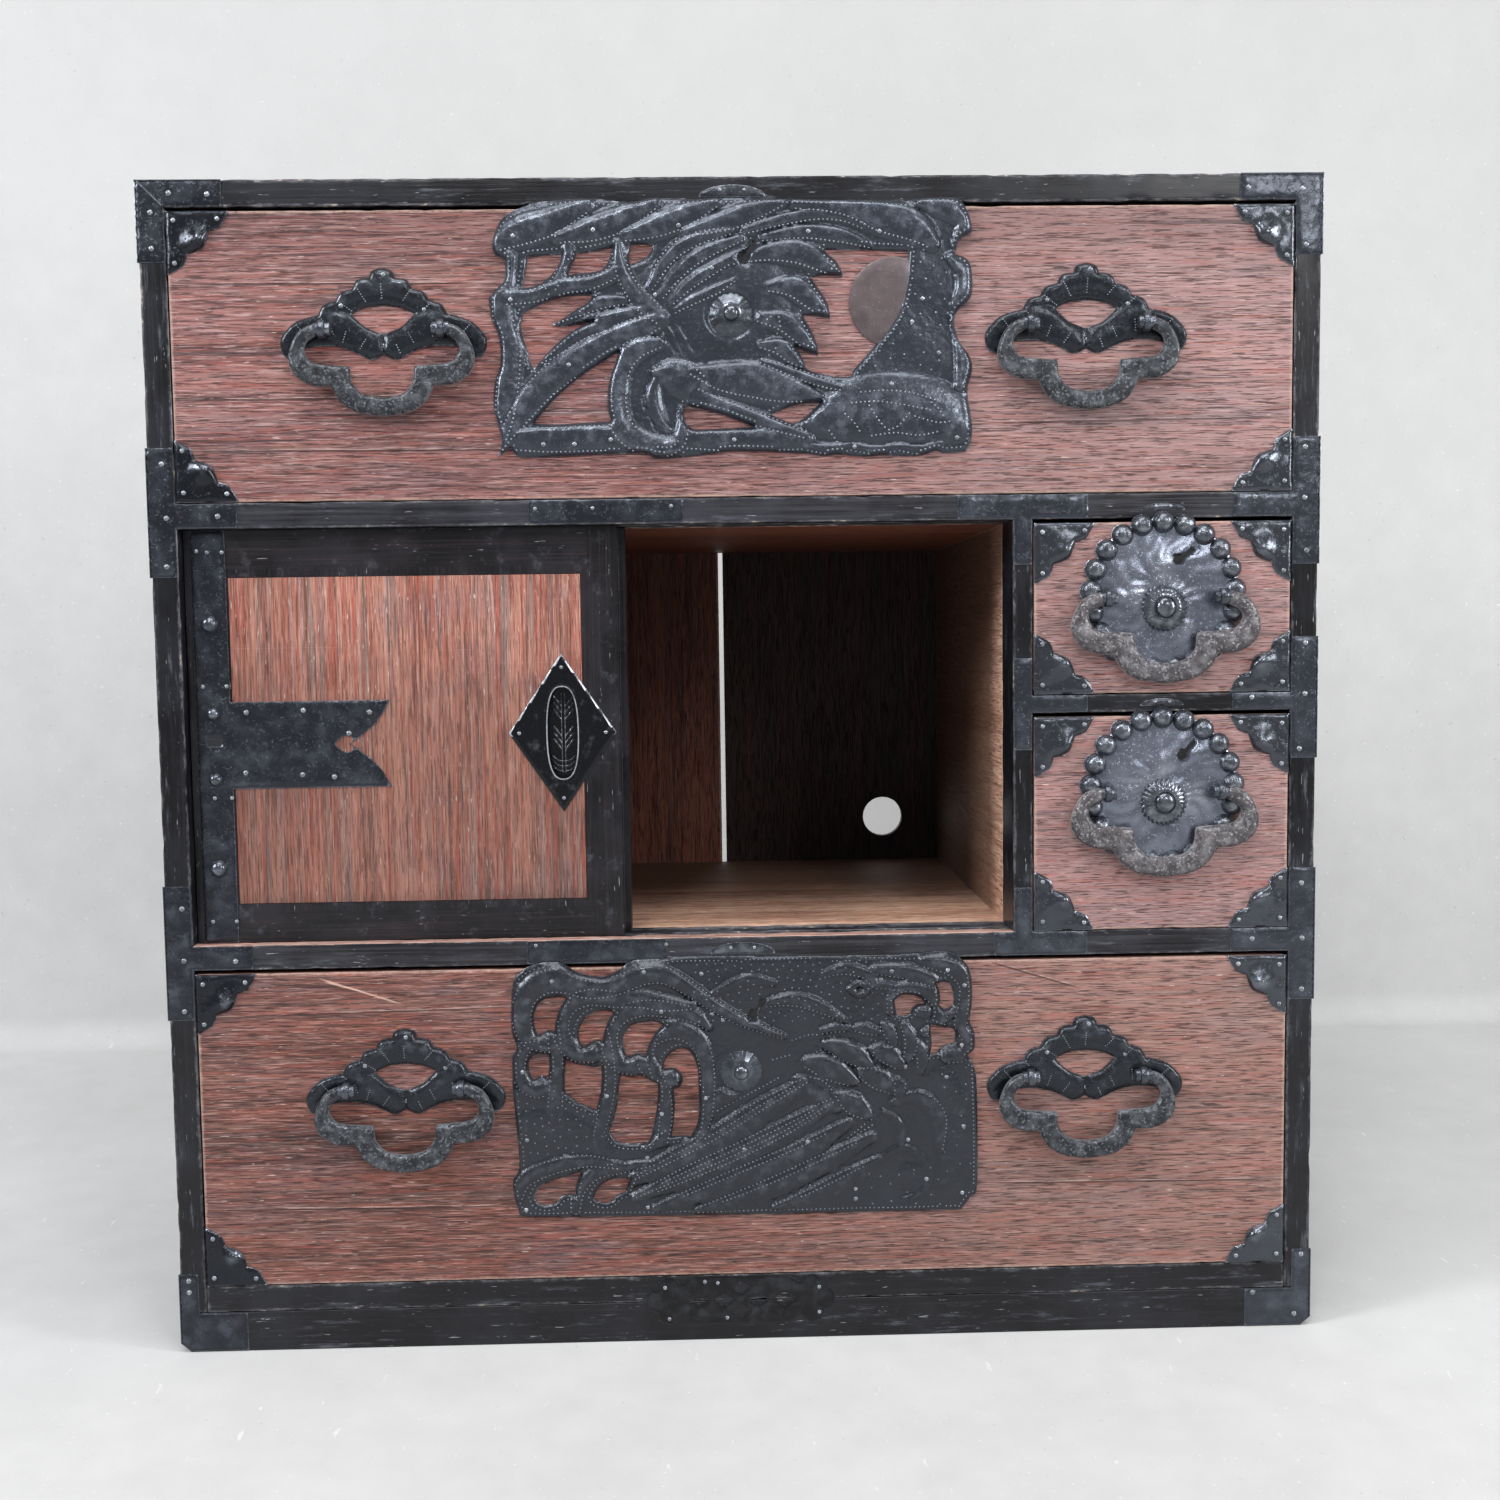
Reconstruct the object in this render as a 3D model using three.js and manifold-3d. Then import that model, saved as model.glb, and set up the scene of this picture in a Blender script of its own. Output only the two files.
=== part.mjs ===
// A ship chest: a lacquered case with two long drawers, two small drawers and a compartment
// behind two sliding doors, all bound in forged iron. Millimetres, +X right, +Y back, +Z up.
// The origin is at the bottom centre of the whole chest.

import * as THREE from "three";
import { mergeVertices } from "three/addons/utils/BufferGeometryUtils.js";
import Module from "manifold-3d";

const wasm = await Module();
wasm.setup();

// Case boards
const caseWidth = 880;
const caseDepth = 415;
const sideThickness = 20;
const topThickness = 20;
const bottomThickness = 21;
const railThickness = 19;
const railDepth = 45;
const backThickness = 9;
const partitionThickness = 15;
const smallShelfThickness = 14;
const baseHeight = 31;
const baseRailWidth = 45;
const baseCornerWear = 6;

// Openings between the boards
const lowerOpeningHeight = 247;
const compartmentHeight = 315;
const upperOpeningHeight = 216;
const smallOpeningWidth = 198;
const smallOpeningDifference = 35;

// Back boards, with the shrinkage crack between them and a hole sawn for a cable
const backCrackWidth = 4.5;
const backCrackPlace = -12;
const cableHoleRadius = 20;
const cableHolePlace = 151;
const cableHoleRise = 44;

// Drawers
const frontThickness = 20;
const frontProud = 0.4;
const drawerTopGap = 3;
const drawerFloorGap = 0.5;
const drawerSideGap = 1;
const drawerBackGap = 11.4;
const drawerWall = 11;
const drawerBottom = 8;
const drawerSideDrop = 14;

// Sliding doors and their tracks
const doorOverlap = 25;
const doorThickness = 15;
const outerDoorSetback = 10;
const doorSpacing = 18;
const doorSideGap = 1;
const doorFloorGap = 0.5;
const innerDoorShift = 5;
const lockStileWidth = 32;
const meetingStileWidth = 28;
const doorTopRail = 35.5;
const doorBottomRail = 29.5;
const doorTongue = 6;
const headGrooveDepth = 9;
const sillGrooveDepth = 3;
const trackClearance = 0.5;
const headClearance = 1;
const panelThickness = 12;
const panelTongueThickness = 5;
const panelTongueWidth = 6;
const panelClearance = 0.3;

// Iron on the doors
const doorStrapWidth = 26;
const doorStrapInset = 5;
const doorStrapThickness = 1.2;
const keySlotWide = 11;
const keySlotTall = 5;
const keySlotRise = 154;
const fishtailRise = 152;
const pullRise = 158;
const studRadius = 6.5;
const studHeight = 4.5;
const studRise = 151;
const studSpread = 93;
const smallStudRadius = 5;
const smallStudHeight = 3.5;
const smallStudSpread = 25;
const fishtailLength = 120;
const fishtailHeight = 66;
const fishtailNotch = 30;
const heartWidth = 14;
const heartHeight = 13;
const heartPlace = 35;
const pullWidth = 82;
const pullHeight = 121;
const pullInset = 44;
const pullThickness = 1.2;
const dishWidth = 25;
const dishHeight = 77;
const dishDepth = 7;
const dishWall = 1;

// Straps nailed over the joints of the case
const strapThickness = 1.2;
const strapInset = 0.6;
const strapWrap = 34;
const cornerStrapReach = 62;
const cornerStrapDrop = 60;
const railStrapReach = 65;
const upperStrapUp = 41;
const upperStrapDown = 36;
const lowerStrapUp = 46;
const lowerStrapDown = 38;
const smallStrapUp = 42;
const smallStrapDown = 37;
const baseStrapReach = 51;
const baseStrapStile = 14;
const baseStrapHeight = 62;
const centreStrapReach = 42;
const centreStrapStem = 34;
const middleStrapRise = 28;

// Strike plates on the rails above the locks
const strikeHalfWidth = 25;
const smallStrikeHalfWidth = 17;
const strikeRise = 9;
const smallStrikeRise = 5.5;
const strikeClearance = 0.6;

// Pierced ornament on the base
const ornamentWidth = 148;
const ornamentHeight = 38;
const ornamentRise = 13;
const ornamentShift = -7;
const ornamentThickness = 1.5;
const ornamentLobeRadius = 9.5;

// Corner fittings on the drawer fronts
const fittingLeg = 46;
const smallFittingGap = 2.87;
const fittingThickness = 1.6;

// Bails and their eyes
const bailHalfWidth = 68.5;
const smallBailProud = 7.5;
const bailDrop = 64;
const bailThickness = 9;
const bailBevel = 2.2;
const bailEndWidth = 8.4;
const eyeSpacing = 87;
const smallEyeInset = 11.5;
const eyeRadius = 7.2;
const eyeHoleRadius = 4;
const eyeWidth = 5;
const eyeSink = 0.7;
const pinRadius = 3.5;
const pinKnobRadius = 5;
const pinKnobLength = 5.5;
const pinClearance = 0.5;

// Plates behind the bails of the long drawers
const handlePlateHalfWidth = 76;
const handlePlateRise = 46;
const handlePlateThickness = 2.5;
const handleInset = 157;
const upperHandleDrop = 88;
const lowerHandleDrop = 90;

// Openwork lock plates of the long drawers
const handleGap = 6;
const upperPlateLap = 4;
const lowerPlateLap = 5;
const lockPlateThickness = 3;
const upperLockPlateRise = 28.5;
const lowerLockPlateRise = 47.5;
const lockPlateShift = -2;
const moonRadius = 33;
const moonThickness = 1;

// Round lock plates of the small drawers
const roundPlateFloor = 10;
const roundPlateBeadRadius = 9;
const roundPlateThickness = 2.5;
const roundPlateBeads = 21;
const upperRoundPlateLap = 5;
const lowerRoundPlateLap = 4;
const roundBossDrop = 9;
const roundEyeDrop = 1.5;

// Bosses, push buttons and keyholes of the locks
const bossRadius = 16;
const bossHeight = 5;
const bossSink = 0.7;
const buttonRadius = 4.3;
const buttonClearance = 0.35;
const buttonProud = 6;
const buttonStem = 8;
const buttonTravel = 4;
const buttonRoom = 1;
const keyholeRadius = 3.5;
const keySlotLength = 15;
const keySlotWidth = 2.4;

// Every cut runs past the piece by this much
const overrun = 5;

// Facets
const roundSides = 24;
const bossSides = 16;
const pinSides = 12;
const runSteps = 2;
const beadSteps = 4;

// Levels and places that follow from the sizes
const caseRight = caseWidth / 2;
const innerRight = caseRight - sideThickness;
const innerLeft = -innerRight;
const bottomTop = baseHeight + bottomThickness;
const lowerRailBottom = bottomTop + lowerOpeningHeight;
const compartmentFloor = lowerRailBottom + railThickness;
const compartmentTop = compartmentFloor + compartmentHeight;
const upperRailTop = compartmentTop + railThickness;
const topUnderside = upperRailTop + upperOpeningHeight;
const caseHeight = topUnderside + topThickness;
const partitionRight = innerRight - smallOpeningWidth;
const partitionLeft = partitionRight - partitionThickness;
const doorWidth = (partitionLeft - innerLeft + doorOverlap) / 2;
const upperSmallOpeningHeight = (compartmentHeight - smallShelfThickness - smallOpeningDifference) / 2;
const smallShelfTop = compartmentTop - upperSmallOpeningHeight;
const smallShelfBottom = smallShelfTop - smallShelfThickness;
const backInner = caseDepth - backThickness;
const drawerLength = backInner + frontProud - drawerBackGap;
const handleSpread = innerRight - drawerSideGap - handleInset;
const lockPlateWidth = 2 * (handleSpread - handlePlateHalfWidth - handleGap);
const upperLockPlateHeight = upperOpeningHeight + upperPlateLap - drawerFloorGap - upperLockPlateRise;
const lowerLockPlateHeight = lowerOpeningHeight + lowerPlateLap - drawerFloorGap - lowerLockPlateRise;
const roundPlateOuter = (upperSmallOpeningHeight + upperRoundPlateLap - roundPlateFloor) / 2;
const roundPlateRing = roundPlateOuter - roundPlateBeadRadius;
const smallEyeSpacing = 2 * (roundPlateRing - smallEyeInset);
const smallBailHalfWidth = roundPlateOuter + smallBailProud;
const smallFittingReach = Math.hypot(
  smallOpeningWidth / 2 - drawerSideGap, roundPlateOuter - upperRoundPlateLap - drawerTopGap,
);
const smallFittingLeg = smallFittingReach - roundPlateOuter - smallFittingGap;
const eyeReach = eyeRadius - eyeSink;
const smallOpeningMiddle = (partitionRight + innerRight) / 2;
const bailReach = handlePlateThickness + eyeReach;
const forwardReach = frontProud + Math.max(handlePlateThickness, roundPlateThickness) + eyeReach + eyeRadius;
const frontPlane = (forwardReach - caseDepth) / 2;

// Finishes
const lacquer = { color: 0x1f1e22, roughness: 0.35, metalness: 0 };
const frontWood = { color: 0x87564a, roughness: 0.6, metalness: 0 };
const doorWood = { color: 0x96604c, roughness: 0.6, metalness: 0 };
const innerWood = { color: 0xa97a4e, roughness: 0.7, metalness: 0 };
const backWood = { color: 0x5e3627, roughness: 0.75, metalness: 0 };
const iron = { color: 0x2b2e34, roughness: 0.42, metalness: 0.75 };
const castIron = { color: 0x4a4a4c, roughness: 0.6, metalness: 0.7 };

// Outlines, as shares of the piece's own sizes. Each row is a smooth run between sharp corners.
const bailOuterShares = [
  [[0, -1], [0.28, -0.955], [0.46, -0.83], [0.55, -0.65]],
  [[0.55, -0.65], [0.76, -0.64], [0.94, -0.52], [1, -0.33], [0.93, -0.1], [0.82, 0.02]],
];
const bailInnerShares = [
  [[0.79, -0.14], [0.825, -0.25], [0.75, -0.37], [0.58, -0.405], [0.335, -0.42]],
  [[0.335, -0.42], [0.325, -0.6], [0.2, -0.745], [0, -0.78]],
];
const handlePlateShares = [
  [[0, 1], [0.1, 0.95], [0.125, 0.84]],
  [[0.125, 0.84], [0.24, 0.81], [0.29, 0.67]],
  [[0.29, 0.67], [0.4, 0.62], [0.46, 0.48]],
  [[0.46, 0.48], [0.57, 0.42], [0.63, 0.26]],
  [[0.63, 0.26], [0.85, 0.15], [1, -0.13], [0.96, -0.4], [0.86, -0.43]],
  [[0.86, -0.43], [0.75, -0.27], [0.5, -0.235], [0.3, -0.32], [0.12, -0.455], [0, -0.37]],
];
const lensShares = [
  [[0, 0.4], [0.16, 0.37], [0.305, 0.27]],
  [[0.305, 0.27], [0.17, 0.06], [0, -0.05]],
];
const fittingShares = [
  [[0, 0], [1, 0]],
  [[1, 0], [0.86, 0.25], [0.68, 0.32]],
  [[0.68, 0.32], [0.58, 0.58], [0.32, 0.68]],
  [[0.32, 0.68], [0.25, 0.86], [0, 1]],
  [[0, 1], [0, 0]],
];
const lozengeShares = [[-0.5, 0], [0, -0.5], [0.5, 0], [0, 0.5]];
const ornamentShares = [
  [[0, 0.5], [0.22, 0.5], [0.3, 0.38], [0.38, 0.22], [0.38, -0.22], [0.3, -0.38], [0.22, -0.5], [0, -0.5]],
];
const heartShares = [
  [[-0.5, 0], [-0.15, 0.38], [0.2, 0.5], [0.48, 0.32], [0.4, 0.06], [0.2, 0]],
  [[0.2, 0], [0.4, -0.06], [0.48, -0.32], [0.2, -0.5], [-0.15, -0.38], [-0.5, 0]],
];

// Upper lock plate: crane, pine and turtle in openwork. Shares of its width from the middle and
// of its height from the lower edge.
const upperPlateShares = [
  [-0.495, 0.83], [-0.48, 0.91], [-0.455, 0.95], [-0.415, 0.98], [-0.385, 0.99], [-0.295, 1],
  [-0.215, 0.985], [-0.16, 1], [-0.09, 0.995], [0.005, 1], [0.17, 0.99], [0.285, 0.985],
  [0.355, 0.98], [0.38, 0.99], [0.42, 0.995], [0.465, 0.99], [0.485, 0.95], [0.495, 0.895],
  [0.495, 0.86], [0.47, 0.83], [0.46, 0.78], [0.485, 0.76], [0.495, 0.715], [0.495, 0.625],
  [0.48, 0.585], [0.46, 0.545], [0.46, 0.49], [0.47, 0.44], [0.49, 0.385], [0.495, 0.335],
  [0.485, 0.255], [0.49, 0.18], [0.495, 0.1], [0.49, 0.045], [0.48, 0.015], [0.435, 0.01],
  [0.42, 0.02], [0.38, 0], [0.31, 0.005], [0.27, 0], [0.215, 0.01], [0.185, 0.005],
  [0.145, 0.015], [0.09, 0.02], [-0.01, 0.025], [-0.08, 0.01], [-0.16, 0], [-0.19, 0.02],
  [-0.27, 0.02], [-0.425, 0.01], [-0.455, 0.02], [-0.465, 0.045], [-0.495, 0.015],
  [-0.485, 0.075], [-0.5, 0.205], [-0.495, 0.31], [-0.485, 0.36], [-0.485, 0.465],
  [-0.5, 0.545], [-0.505, 0.625], [-0.485, 0.665], [-0.47, 0.7], [-0.47, 0.77], [-0.49, 0.79],
];
const upperPiercingShares = [
  [[-0.43, 0.775], [-0.36, 0.795], [-0.365, 0.74], [-0.39, 0.675], [-0.415, 0.655], [-0.435, 0.665]],
  [[-0.32, 0.8], [-0.25, 0.81], [-0.26, 0.77], [-0.27, 0.715], [-0.32, 0.69], [-0.35, 0.7], [-0.335, 0.74]],
  [[-0.215, 0.81], [-0.155, 0.815], [-0.165, 0.78], [-0.19, 0.76], [-0.21, 0.74]],
  [[-0.43, 0.595], [-0.355, 0.635], [-0.3, 0.635], [-0.335, 0.58], [-0.38, 0.525], [-0.32, 0.535],
    [-0.315, 0.51], [-0.355, 0.455], [-0.385, 0.415], [-0.41, 0.37], [-0.425, 0.36],
    [-0.435, 0.49], [-0.435, 0.555]],
  [[-0.435, 0.16], [-0.41, 0.215], [-0.385, 0.285], [-0.34, 0.345], [-0.285, 0.4], [-0.245, 0.405],
    [-0.26, 0.335], [-0.265, 0.23], [-0.26, 0.14], [-0.41, 0.145]],
  [[-0.1, 0.205], [-0.05, 0.185], [0.005, 0.16], [0.035, 0.155], [0.02, 0.125], [-0.05, 0.115],
    [-0.095, 0.12], [-0.105, 0.16]],
  [[0.065, 0.185], [0.13, 0.205], [0.18, 0.22], [0.18, 0.19], [0.145, 0.155], [0.105, 0.16]],
  [[0.205, 0.795], [0.285, 0.795], [0.365, 0.785], [0.365, 0.74], [0.355, 0.65], [0.335, 0.545],
    [0.295, 0.44], [0.28, 0.385], [0.255, 0.335], [0.24, 0.3], [0.2, 0.31], [0.145, 0.345],
    [0.175, 0.4], [0.15, 0.415], [0.2, 0.535], [0.165, 0.545], [0.23, 0.695], [0.17, 0.685]],
];
const upperKeyholeShare = [0.022, 0.77];
const upperKeyholeLean = 53;
const upperBossShare = [-0.006, 0.55];
const moonShare = [0.331, 0.597];

// Lower lock plate: breaking waves and a turtle in openwork
const lowerPlateShares = [
  [-0.49, 0.905], [-0.47, 0.955], [-0.44, 0.98], [-0.41, 0.985], [-0.385, 0.98], [-0.35, 0.945],
  [-0.315, 0.93], [-0.29, 0.93], [-0.26, 0.955], [-0.235, 0.985], [-0.17, 0.99], [-0.135, 1],
  [0.005, 0.995], [0.17, 0.99], [0.34, 0.99], [0.42, 1], [0.45, 0.99], [0.48, 0.945],
  [0.49, 0.88], [0.49, 0.795], [0.485, 0.735], [0.495, 0.685], [0.495, 0.625], [0.48, 0.6],
  [0.495, 0.55], [0.5, 0.44], [0.5, 0.1], [0.485, 0.05], [0.465, 0], [0.005, 0], [-0.33, 0.005],
  [-0.47, 0.01], [-0.49, 0.04], [-0.5, 0.145], [-0.485, 0.22], [-0.495, 0.49], [-0.495, 0.55],
  [-0.495, 0.625], [-0.485, 0.665], [-0.495, 0.735],
];
const lowerPiercingShares = [
  [[-0.45, 0.735], [-0.455, 0.795], [-0.44, 0.84], [-0.415, 0.855], [-0.38, 0.85], [-0.405, 0.795],
    [-0.41, 0.735], [-0.43, 0.725]],
  [[-0.46, 0.615], [-0.44, 0.64], [-0.415, 0.635], [-0.415, 0.6], [-0.42, 0.55], [-0.44, 0.55],
    [-0.455, 0.58]],
  [[-0.36, 0.685], [-0.35, 0.735], [-0.33, 0.775], [-0.3, 0.79], [-0.28, 0.79], [-0.295, 0.735],
    [-0.31, 0.685], [-0.325, 0.67], [-0.345, 0.66]],
  [[-0.385, 0.61], [-0.36, 0.59], [-0.31, 0.58], [-0.31, 0.49], [-0.32, 0.42], [-0.345, 0.44],
    [-0.385, 0.47], [-0.385, 0.54]],
  [[-0.26, 0.675], [-0.24, 0.725], [-0.215, 0.75], [-0.175, 0.745], [-0.195, 0.7], [-0.215, 0.655],
    [-0.225, 0.625], [-0.245, 0.625]],
  [[-0.27, 0.54], [-0.245, 0.54], [-0.19, 0.515], [-0.19, 0.44], [-0.2, 0.345], [-0.215, 0.29],
    [-0.26, 0.285], [-0.29, 0.33], [-0.285, 0.38], [-0.27, 0.44]],
  [[-0.175, 0.58], [-0.155, 0.625], [-0.135, 0.64], [-0.115, 0.63], [-0.105, 0.59], [-0.1, 0.515],
    [-0.1, 0.415], [-0.115, 0.31], [-0.16, 0.31], [-0.155, 0.39], [-0.15, 0.465], [-0.135, 0.54],
    [-0.155, 0.58]],
  [[-0.46, 0.09], [-0.44, 0.135], [-0.41, 0.16], [-0.365, 0.17], [-0.37, 0.125], [-0.375, 0.095],
    [-0.39, 0.085], [-0.41, 0.06], [-0.435, 0.06]],
  [[-0.33, 0.09], [-0.315, 0.13], [-0.29, 0.15], [-0.25, 0.145], [-0.26, 0.11], [-0.29, 0.07],
    [-0.31, 0.06]],
  [[0.325, 0.795], [0.335, 0.825], [0.36, 0.835], [0.38, 0.815], [0.385, 0.785], [0.365, 0.775],
    [0.335, 0.755]],
  [[0.415, 0.88], [0.435, 0.875], [0.45, 0.845], [0.45, 0.795], [0.43, 0.775], [0.42, 0.795],
    [0.42, 0.835]],
  [[0.395, 0.725], [0.42, 0.72], [0.45, 0.705], [0.455, 0.675], [0.45, 0.635], [0.43, 0.63],
    [0.415, 0.6], [0.405, 0.605], [0.405, 0.66]],
];
const lowerKeyholeShare = [0.021, 0.77];
const lowerKeyholeLean = 59;
const lowerBossShare = [-0.007, 0.56];

// Round lock plates: the keyhole from the middle, as shares of the ring's radius
const upperRoundKeyholeShare = [0.21, 0.5];
const upperRoundKeyholeLean = 32;
const lowerRoundKeyholeShare = [0.28, 0.48];
const lowerRoundKeyholeLean = 47;

// Lozenges pierced through the ornament: place, and width and height, as shares of its size
const ornamentLozengeShares = [
  [-0.23, 0, 0.12, 0.28],
  [0.23, 0, 0.12, 0.28],
  [0, 0.25, 0.1, 0.26],
  [0, -0.25, 0.1, 0.26],
  [-0.09, 0, 0.1, 0.26],
  [0.09, 0, 0.1, 0.26],
];

// A box between two corners, with its faces at exactly these values.
function block(left, right, front, back, low, high) {
  const geometry = new THREE.BoxGeometry(1, 1, 1);
  const at = geometry.attributes.position;
  for (let i = 0; i < at.count; i += 1) {
    at.setXYZ(i, at.getX(i) < 0 ? left : right, at.getY(i) < 0 ? front : back, at.getZ(i) < 0 ? low : high);
  }
  return geometry;
}

// A closed loop of points, turned anticlockwise or clockwise.
function loop(points, clockwise) {
  const line = points.map(([x, z]) => new THREE.Vector2(x, z));
  return THREE.ShapeUtils.isClockWise(line) === clockwise ? line : line.reverse();
}

// A sheet standing upright, cut to an outline of [x, z] points, between two depths.
function plate(outline, holes, front, back) {
  const shape = new THREE.Shape(loop(outline, false));
  for (const hole of holes) {
    shape.holes.push(new THREE.Path(loop(hole, true)));
  }
  const geometry = new THREE.ExtrudeGeometry(shape, { depth: 1, bevelEnabled: false });
  const at = geometry.attributes.position;
  for (let i = 0; i < at.count; i += 1) {
    at.setXYZ(i, at.getX(i), at.getZ(i) > 0 ? front : back, at.getY(i));
  }
  return geometry;
}

// A turned piece about an axis that points forward from a point on the front.
function turned(profile, x, z, sides) {
  const points = profile.map(([radius, out]) => new THREE.Vector2(radius, out));
  return new THREE.LatheGeometry(points, sides).rotateX(Math.PI).translate(x, 0, z);
}

// A round bar along the front-to-back line.
function boreAlongY(radius, front, back, x, z, sides) {
  const geometry = new THREE.CylinderGeometry(radius, radius, back - front, sides);
  return geometry.translate(x, (front + back) / 2, z);
}

// A round bar from left to right.
function barAlongX(radius, left, right, y, z, sides) {
  const geometry = new THREE.CylinderGeometry(radius, radius, right - left, sides).rotateZ(Math.PI / 2);
  return geometry.translate((left + right) / 2, y, z);
}

// The solid of a closed geometry, ready for joins and cuts.
function solid(geometry) {
  const bare = geometry.clone();
  bare.deleteAttribute("normal");
  bare.deleteAttribute("uv");
  const merged = mergeVertices(bare);
  return new wasm.Manifold(new wasm.Mesh({
    numProp: 3,
    vertProperties: merged.attributes.position.array,
    triVerts: new Uint32Array(merged.index.array),
  }));
}

function joined(...geometries) {
  return geometries.map((shape) => (shape.isBufferGeometry ? solid(shape) : shape))
    .reduce((all, shape) => all.add(shape));
}

function cut(body, ...geometries) {
  return geometries.reduce((left, geometry) => left.subtract(solid(geometry)), body);
}

function geometryOf(body) {
  const mesh = body.getMesh();
  const geometry = new THREE.BufferGeometry();
  geometry.setAttribute("position", new THREE.BufferAttribute(mesh.vertProperties, 3));
  geometry.setIndex(new THREE.BufferAttribute(mesh.triVerts, 1));
  geometry.computeVertexNormals();
  return geometry;
}

function addPiece(group, name, shape, finish) {
  const geometry = shape.isBufferGeometry ? shape : geometryOf(shape);
  const mesh = new THREE.Mesh(geometry, new THREE.MeshStandardMaterial(finish));
  mesh.name = name;
  group.add(mesh);
  return mesh;
}

function groupAt(parent, x, y, z) {
  const group = new THREE.Group();
  group.position.set(x, y, z);
  parent.add(group);
  return group;
}

// Points of an outline whose rows of shares are smooth runs, at a real width and height.
function traced(runs, width, height) {
  const points = [];
  for (const run of runs) {
    const sized = run.map(([x, z]) => new THREE.Vector2(x * width, z * height));
    const line = run.length > 2 ? new THREE.SplineCurve(sized).getPoints(runSteps * (run.length - 1)) : sized;
    points.push(...line.slice(0, -1).map((p) => [p.x, p.y]));
  }
  return points;
}

// A half outline from the top middle to the bottom middle, with its mirror image.
function bothHalves(runs) {
  const mirrored = runs.map((run) => run.map(([x, z]) => [-x, z]).reverse()).reverse();
  return [...runs, ...mirrored];
}

function placed(shares, width, height, x, z) {
  return shares.map(([a, b]) => [x + a * width, z + b * height]);
}

function circlePoints(x, z, radius, count) {
  return Array.from({ length: count }, (_, i) => {
    const turn = (2 * Math.PI * i) / count;
    return [x + radius * Math.cos(turn), z + radius * Math.sin(turn)];
  });
}

// A keyhole: a round hole with a slot that leans from it.
function keyholePoints(x, z, leanDegrees) {
  const lean = THREE.MathUtils.degToRad(leanDegrees);
  const mouth = Math.asin(keySlotWidth / 2 / keyholeRadius);
  const points = [];
  for (let i = 0; i <= pinSides; i += 1) {
    const turn = lean + mouth + ((2 * Math.PI - 2 * mouth) * i) / pinSides;
    points.push([x + keyholeRadius * Math.cos(turn), z + keyholeRadius * Math.sin(turn)]);
  }
  for (const side of [-1, 1]) {
    points.push([
      x + keySlotLength * Math.cos(lean) - (side * keySlotWidth / 2) * Math.sin(lean),
      z + keySlotLength * Math.sin(lean) + (side * keySlotWidth / 2) * Math.cos(lean),
    ]);
  }
  return points;
}

// A half-round strike plate on the face of a rail, above a lock.
function strike(middle, low, halfWidth, rise) {
  const points = Array.from({ length: pinSides + 1 }, (_, i) => {
    const turn = (Math.PI * i) / pinSides;
    return [middle + halfWidth * Math.cos(turn), low + rise * Math.sin(turn)];
  });
  return plate(points, [], -strapThickness, 0);
}

// Case

function sideBoard(side) {
  const faces = [side * innerRight, side * caseRight].sort((a, b) => a - b);
  return block(faces[0], faces[1], 0, caseDepth, baseHeight, topUnderside);
}

// The top board, with the corner straps let in flush.
function topBoard(strikeLow) {
  const board = block(-caseRight, caseRight, 0, caseDepth, topUnderside, caseHeight);
  const beds = [-1, 1].map((side) => sideBlock(side, caseRight - cornerStrapReach, caseRight + overrun,
    -overrun, strapWrap, caseHeight - strapThickness, caseHeight + overrun));
  return joined(cut(solid(board), ...beds), strike(lockPlateShift, strikeLow, strikeHalfWidth, strikeRise));
}

function baseFrame() {
  const outline = [
    [-caseRight, baseHeight], [-caseRight, baseCornerWear], [-caseRight + baseCornerWear, 0],
    [caseRight - baseCornerWear, 0], [caseRight, baseCornerWear], [caseRight, baseHeight],
  ];
  const hollow = block(
    -caseRight + baseRailWidth, caseRight - baseRailWidth,
    baseRailWidth, caseDepth - baseRailWidth,
    -overrun, baseHeight + overrun,
  );
  return cut(solid(plate(outline, [], 0, caseDepth)), hollow);
}

// The two grooves that the doors slide in, as bars to cut from a rail.
function trackGrooves(low, high) {
  return [0, doorSpacing].map((step) => {
    const middle = outerDoorSetback + step + doorThickness / 2;
    const half = doorTongue / 2 + trackClearance;
    return block(innerLeft - overrun, partitionLeft, middle - half, middle + half, low, high);
  });
}

function upperRail(strikeLow) {
  const rail = block(innerLeft, innerRight, 0, railDepth, compartmentTop, upperRailTop);
  const body = joined(rail, strike(smallOpeningMiddle, strikeLow, smallStrikeHalfWidth, smallStrikeRise));
  return cut(body, ...trackGrooves(compartmentTop - overrun, compartmentTop + headGrooveDepth));
}

function lowerRail(strikeLow) {
  const rail = block(innerLeft, innerRight, 0, railDepth, lowerRailBottom, compartmentFloor);
  const body = joined(rail, strike(lockPlateShift, strikeLow, strikeHalfWidth, strikeRise));
  return cut(body, ...trackGrooves(compartmentFloor - sillGrooveDepth, compartmentFloor + overrun));
}

function smallShelf(strikeLow) {
  const shelf = block(partitionRight, innerRight, 0, backInner, smallShelfBottom, smallShelfTop);
  return joined(shelf, strike(smallOpeningMiddle, strikeLow, smallStrikeHalfWidth, smallStrikeRise));
}

function backBoardRight() {
  const left = backCrackPlace + backCrackWidth / 2;
  const outline = [
    [left, baseHeight], [innerRight, baseHeight], [innerRight, topUnderside], [left, topUnderside],
  ];
  const hole = circlePoints(cableHolePlace, compartmentFloor + cableHoleRise, cableHoleRadius, roundSides);
  return plate(outline, [hole], backInner, caseDepth);
}

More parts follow.
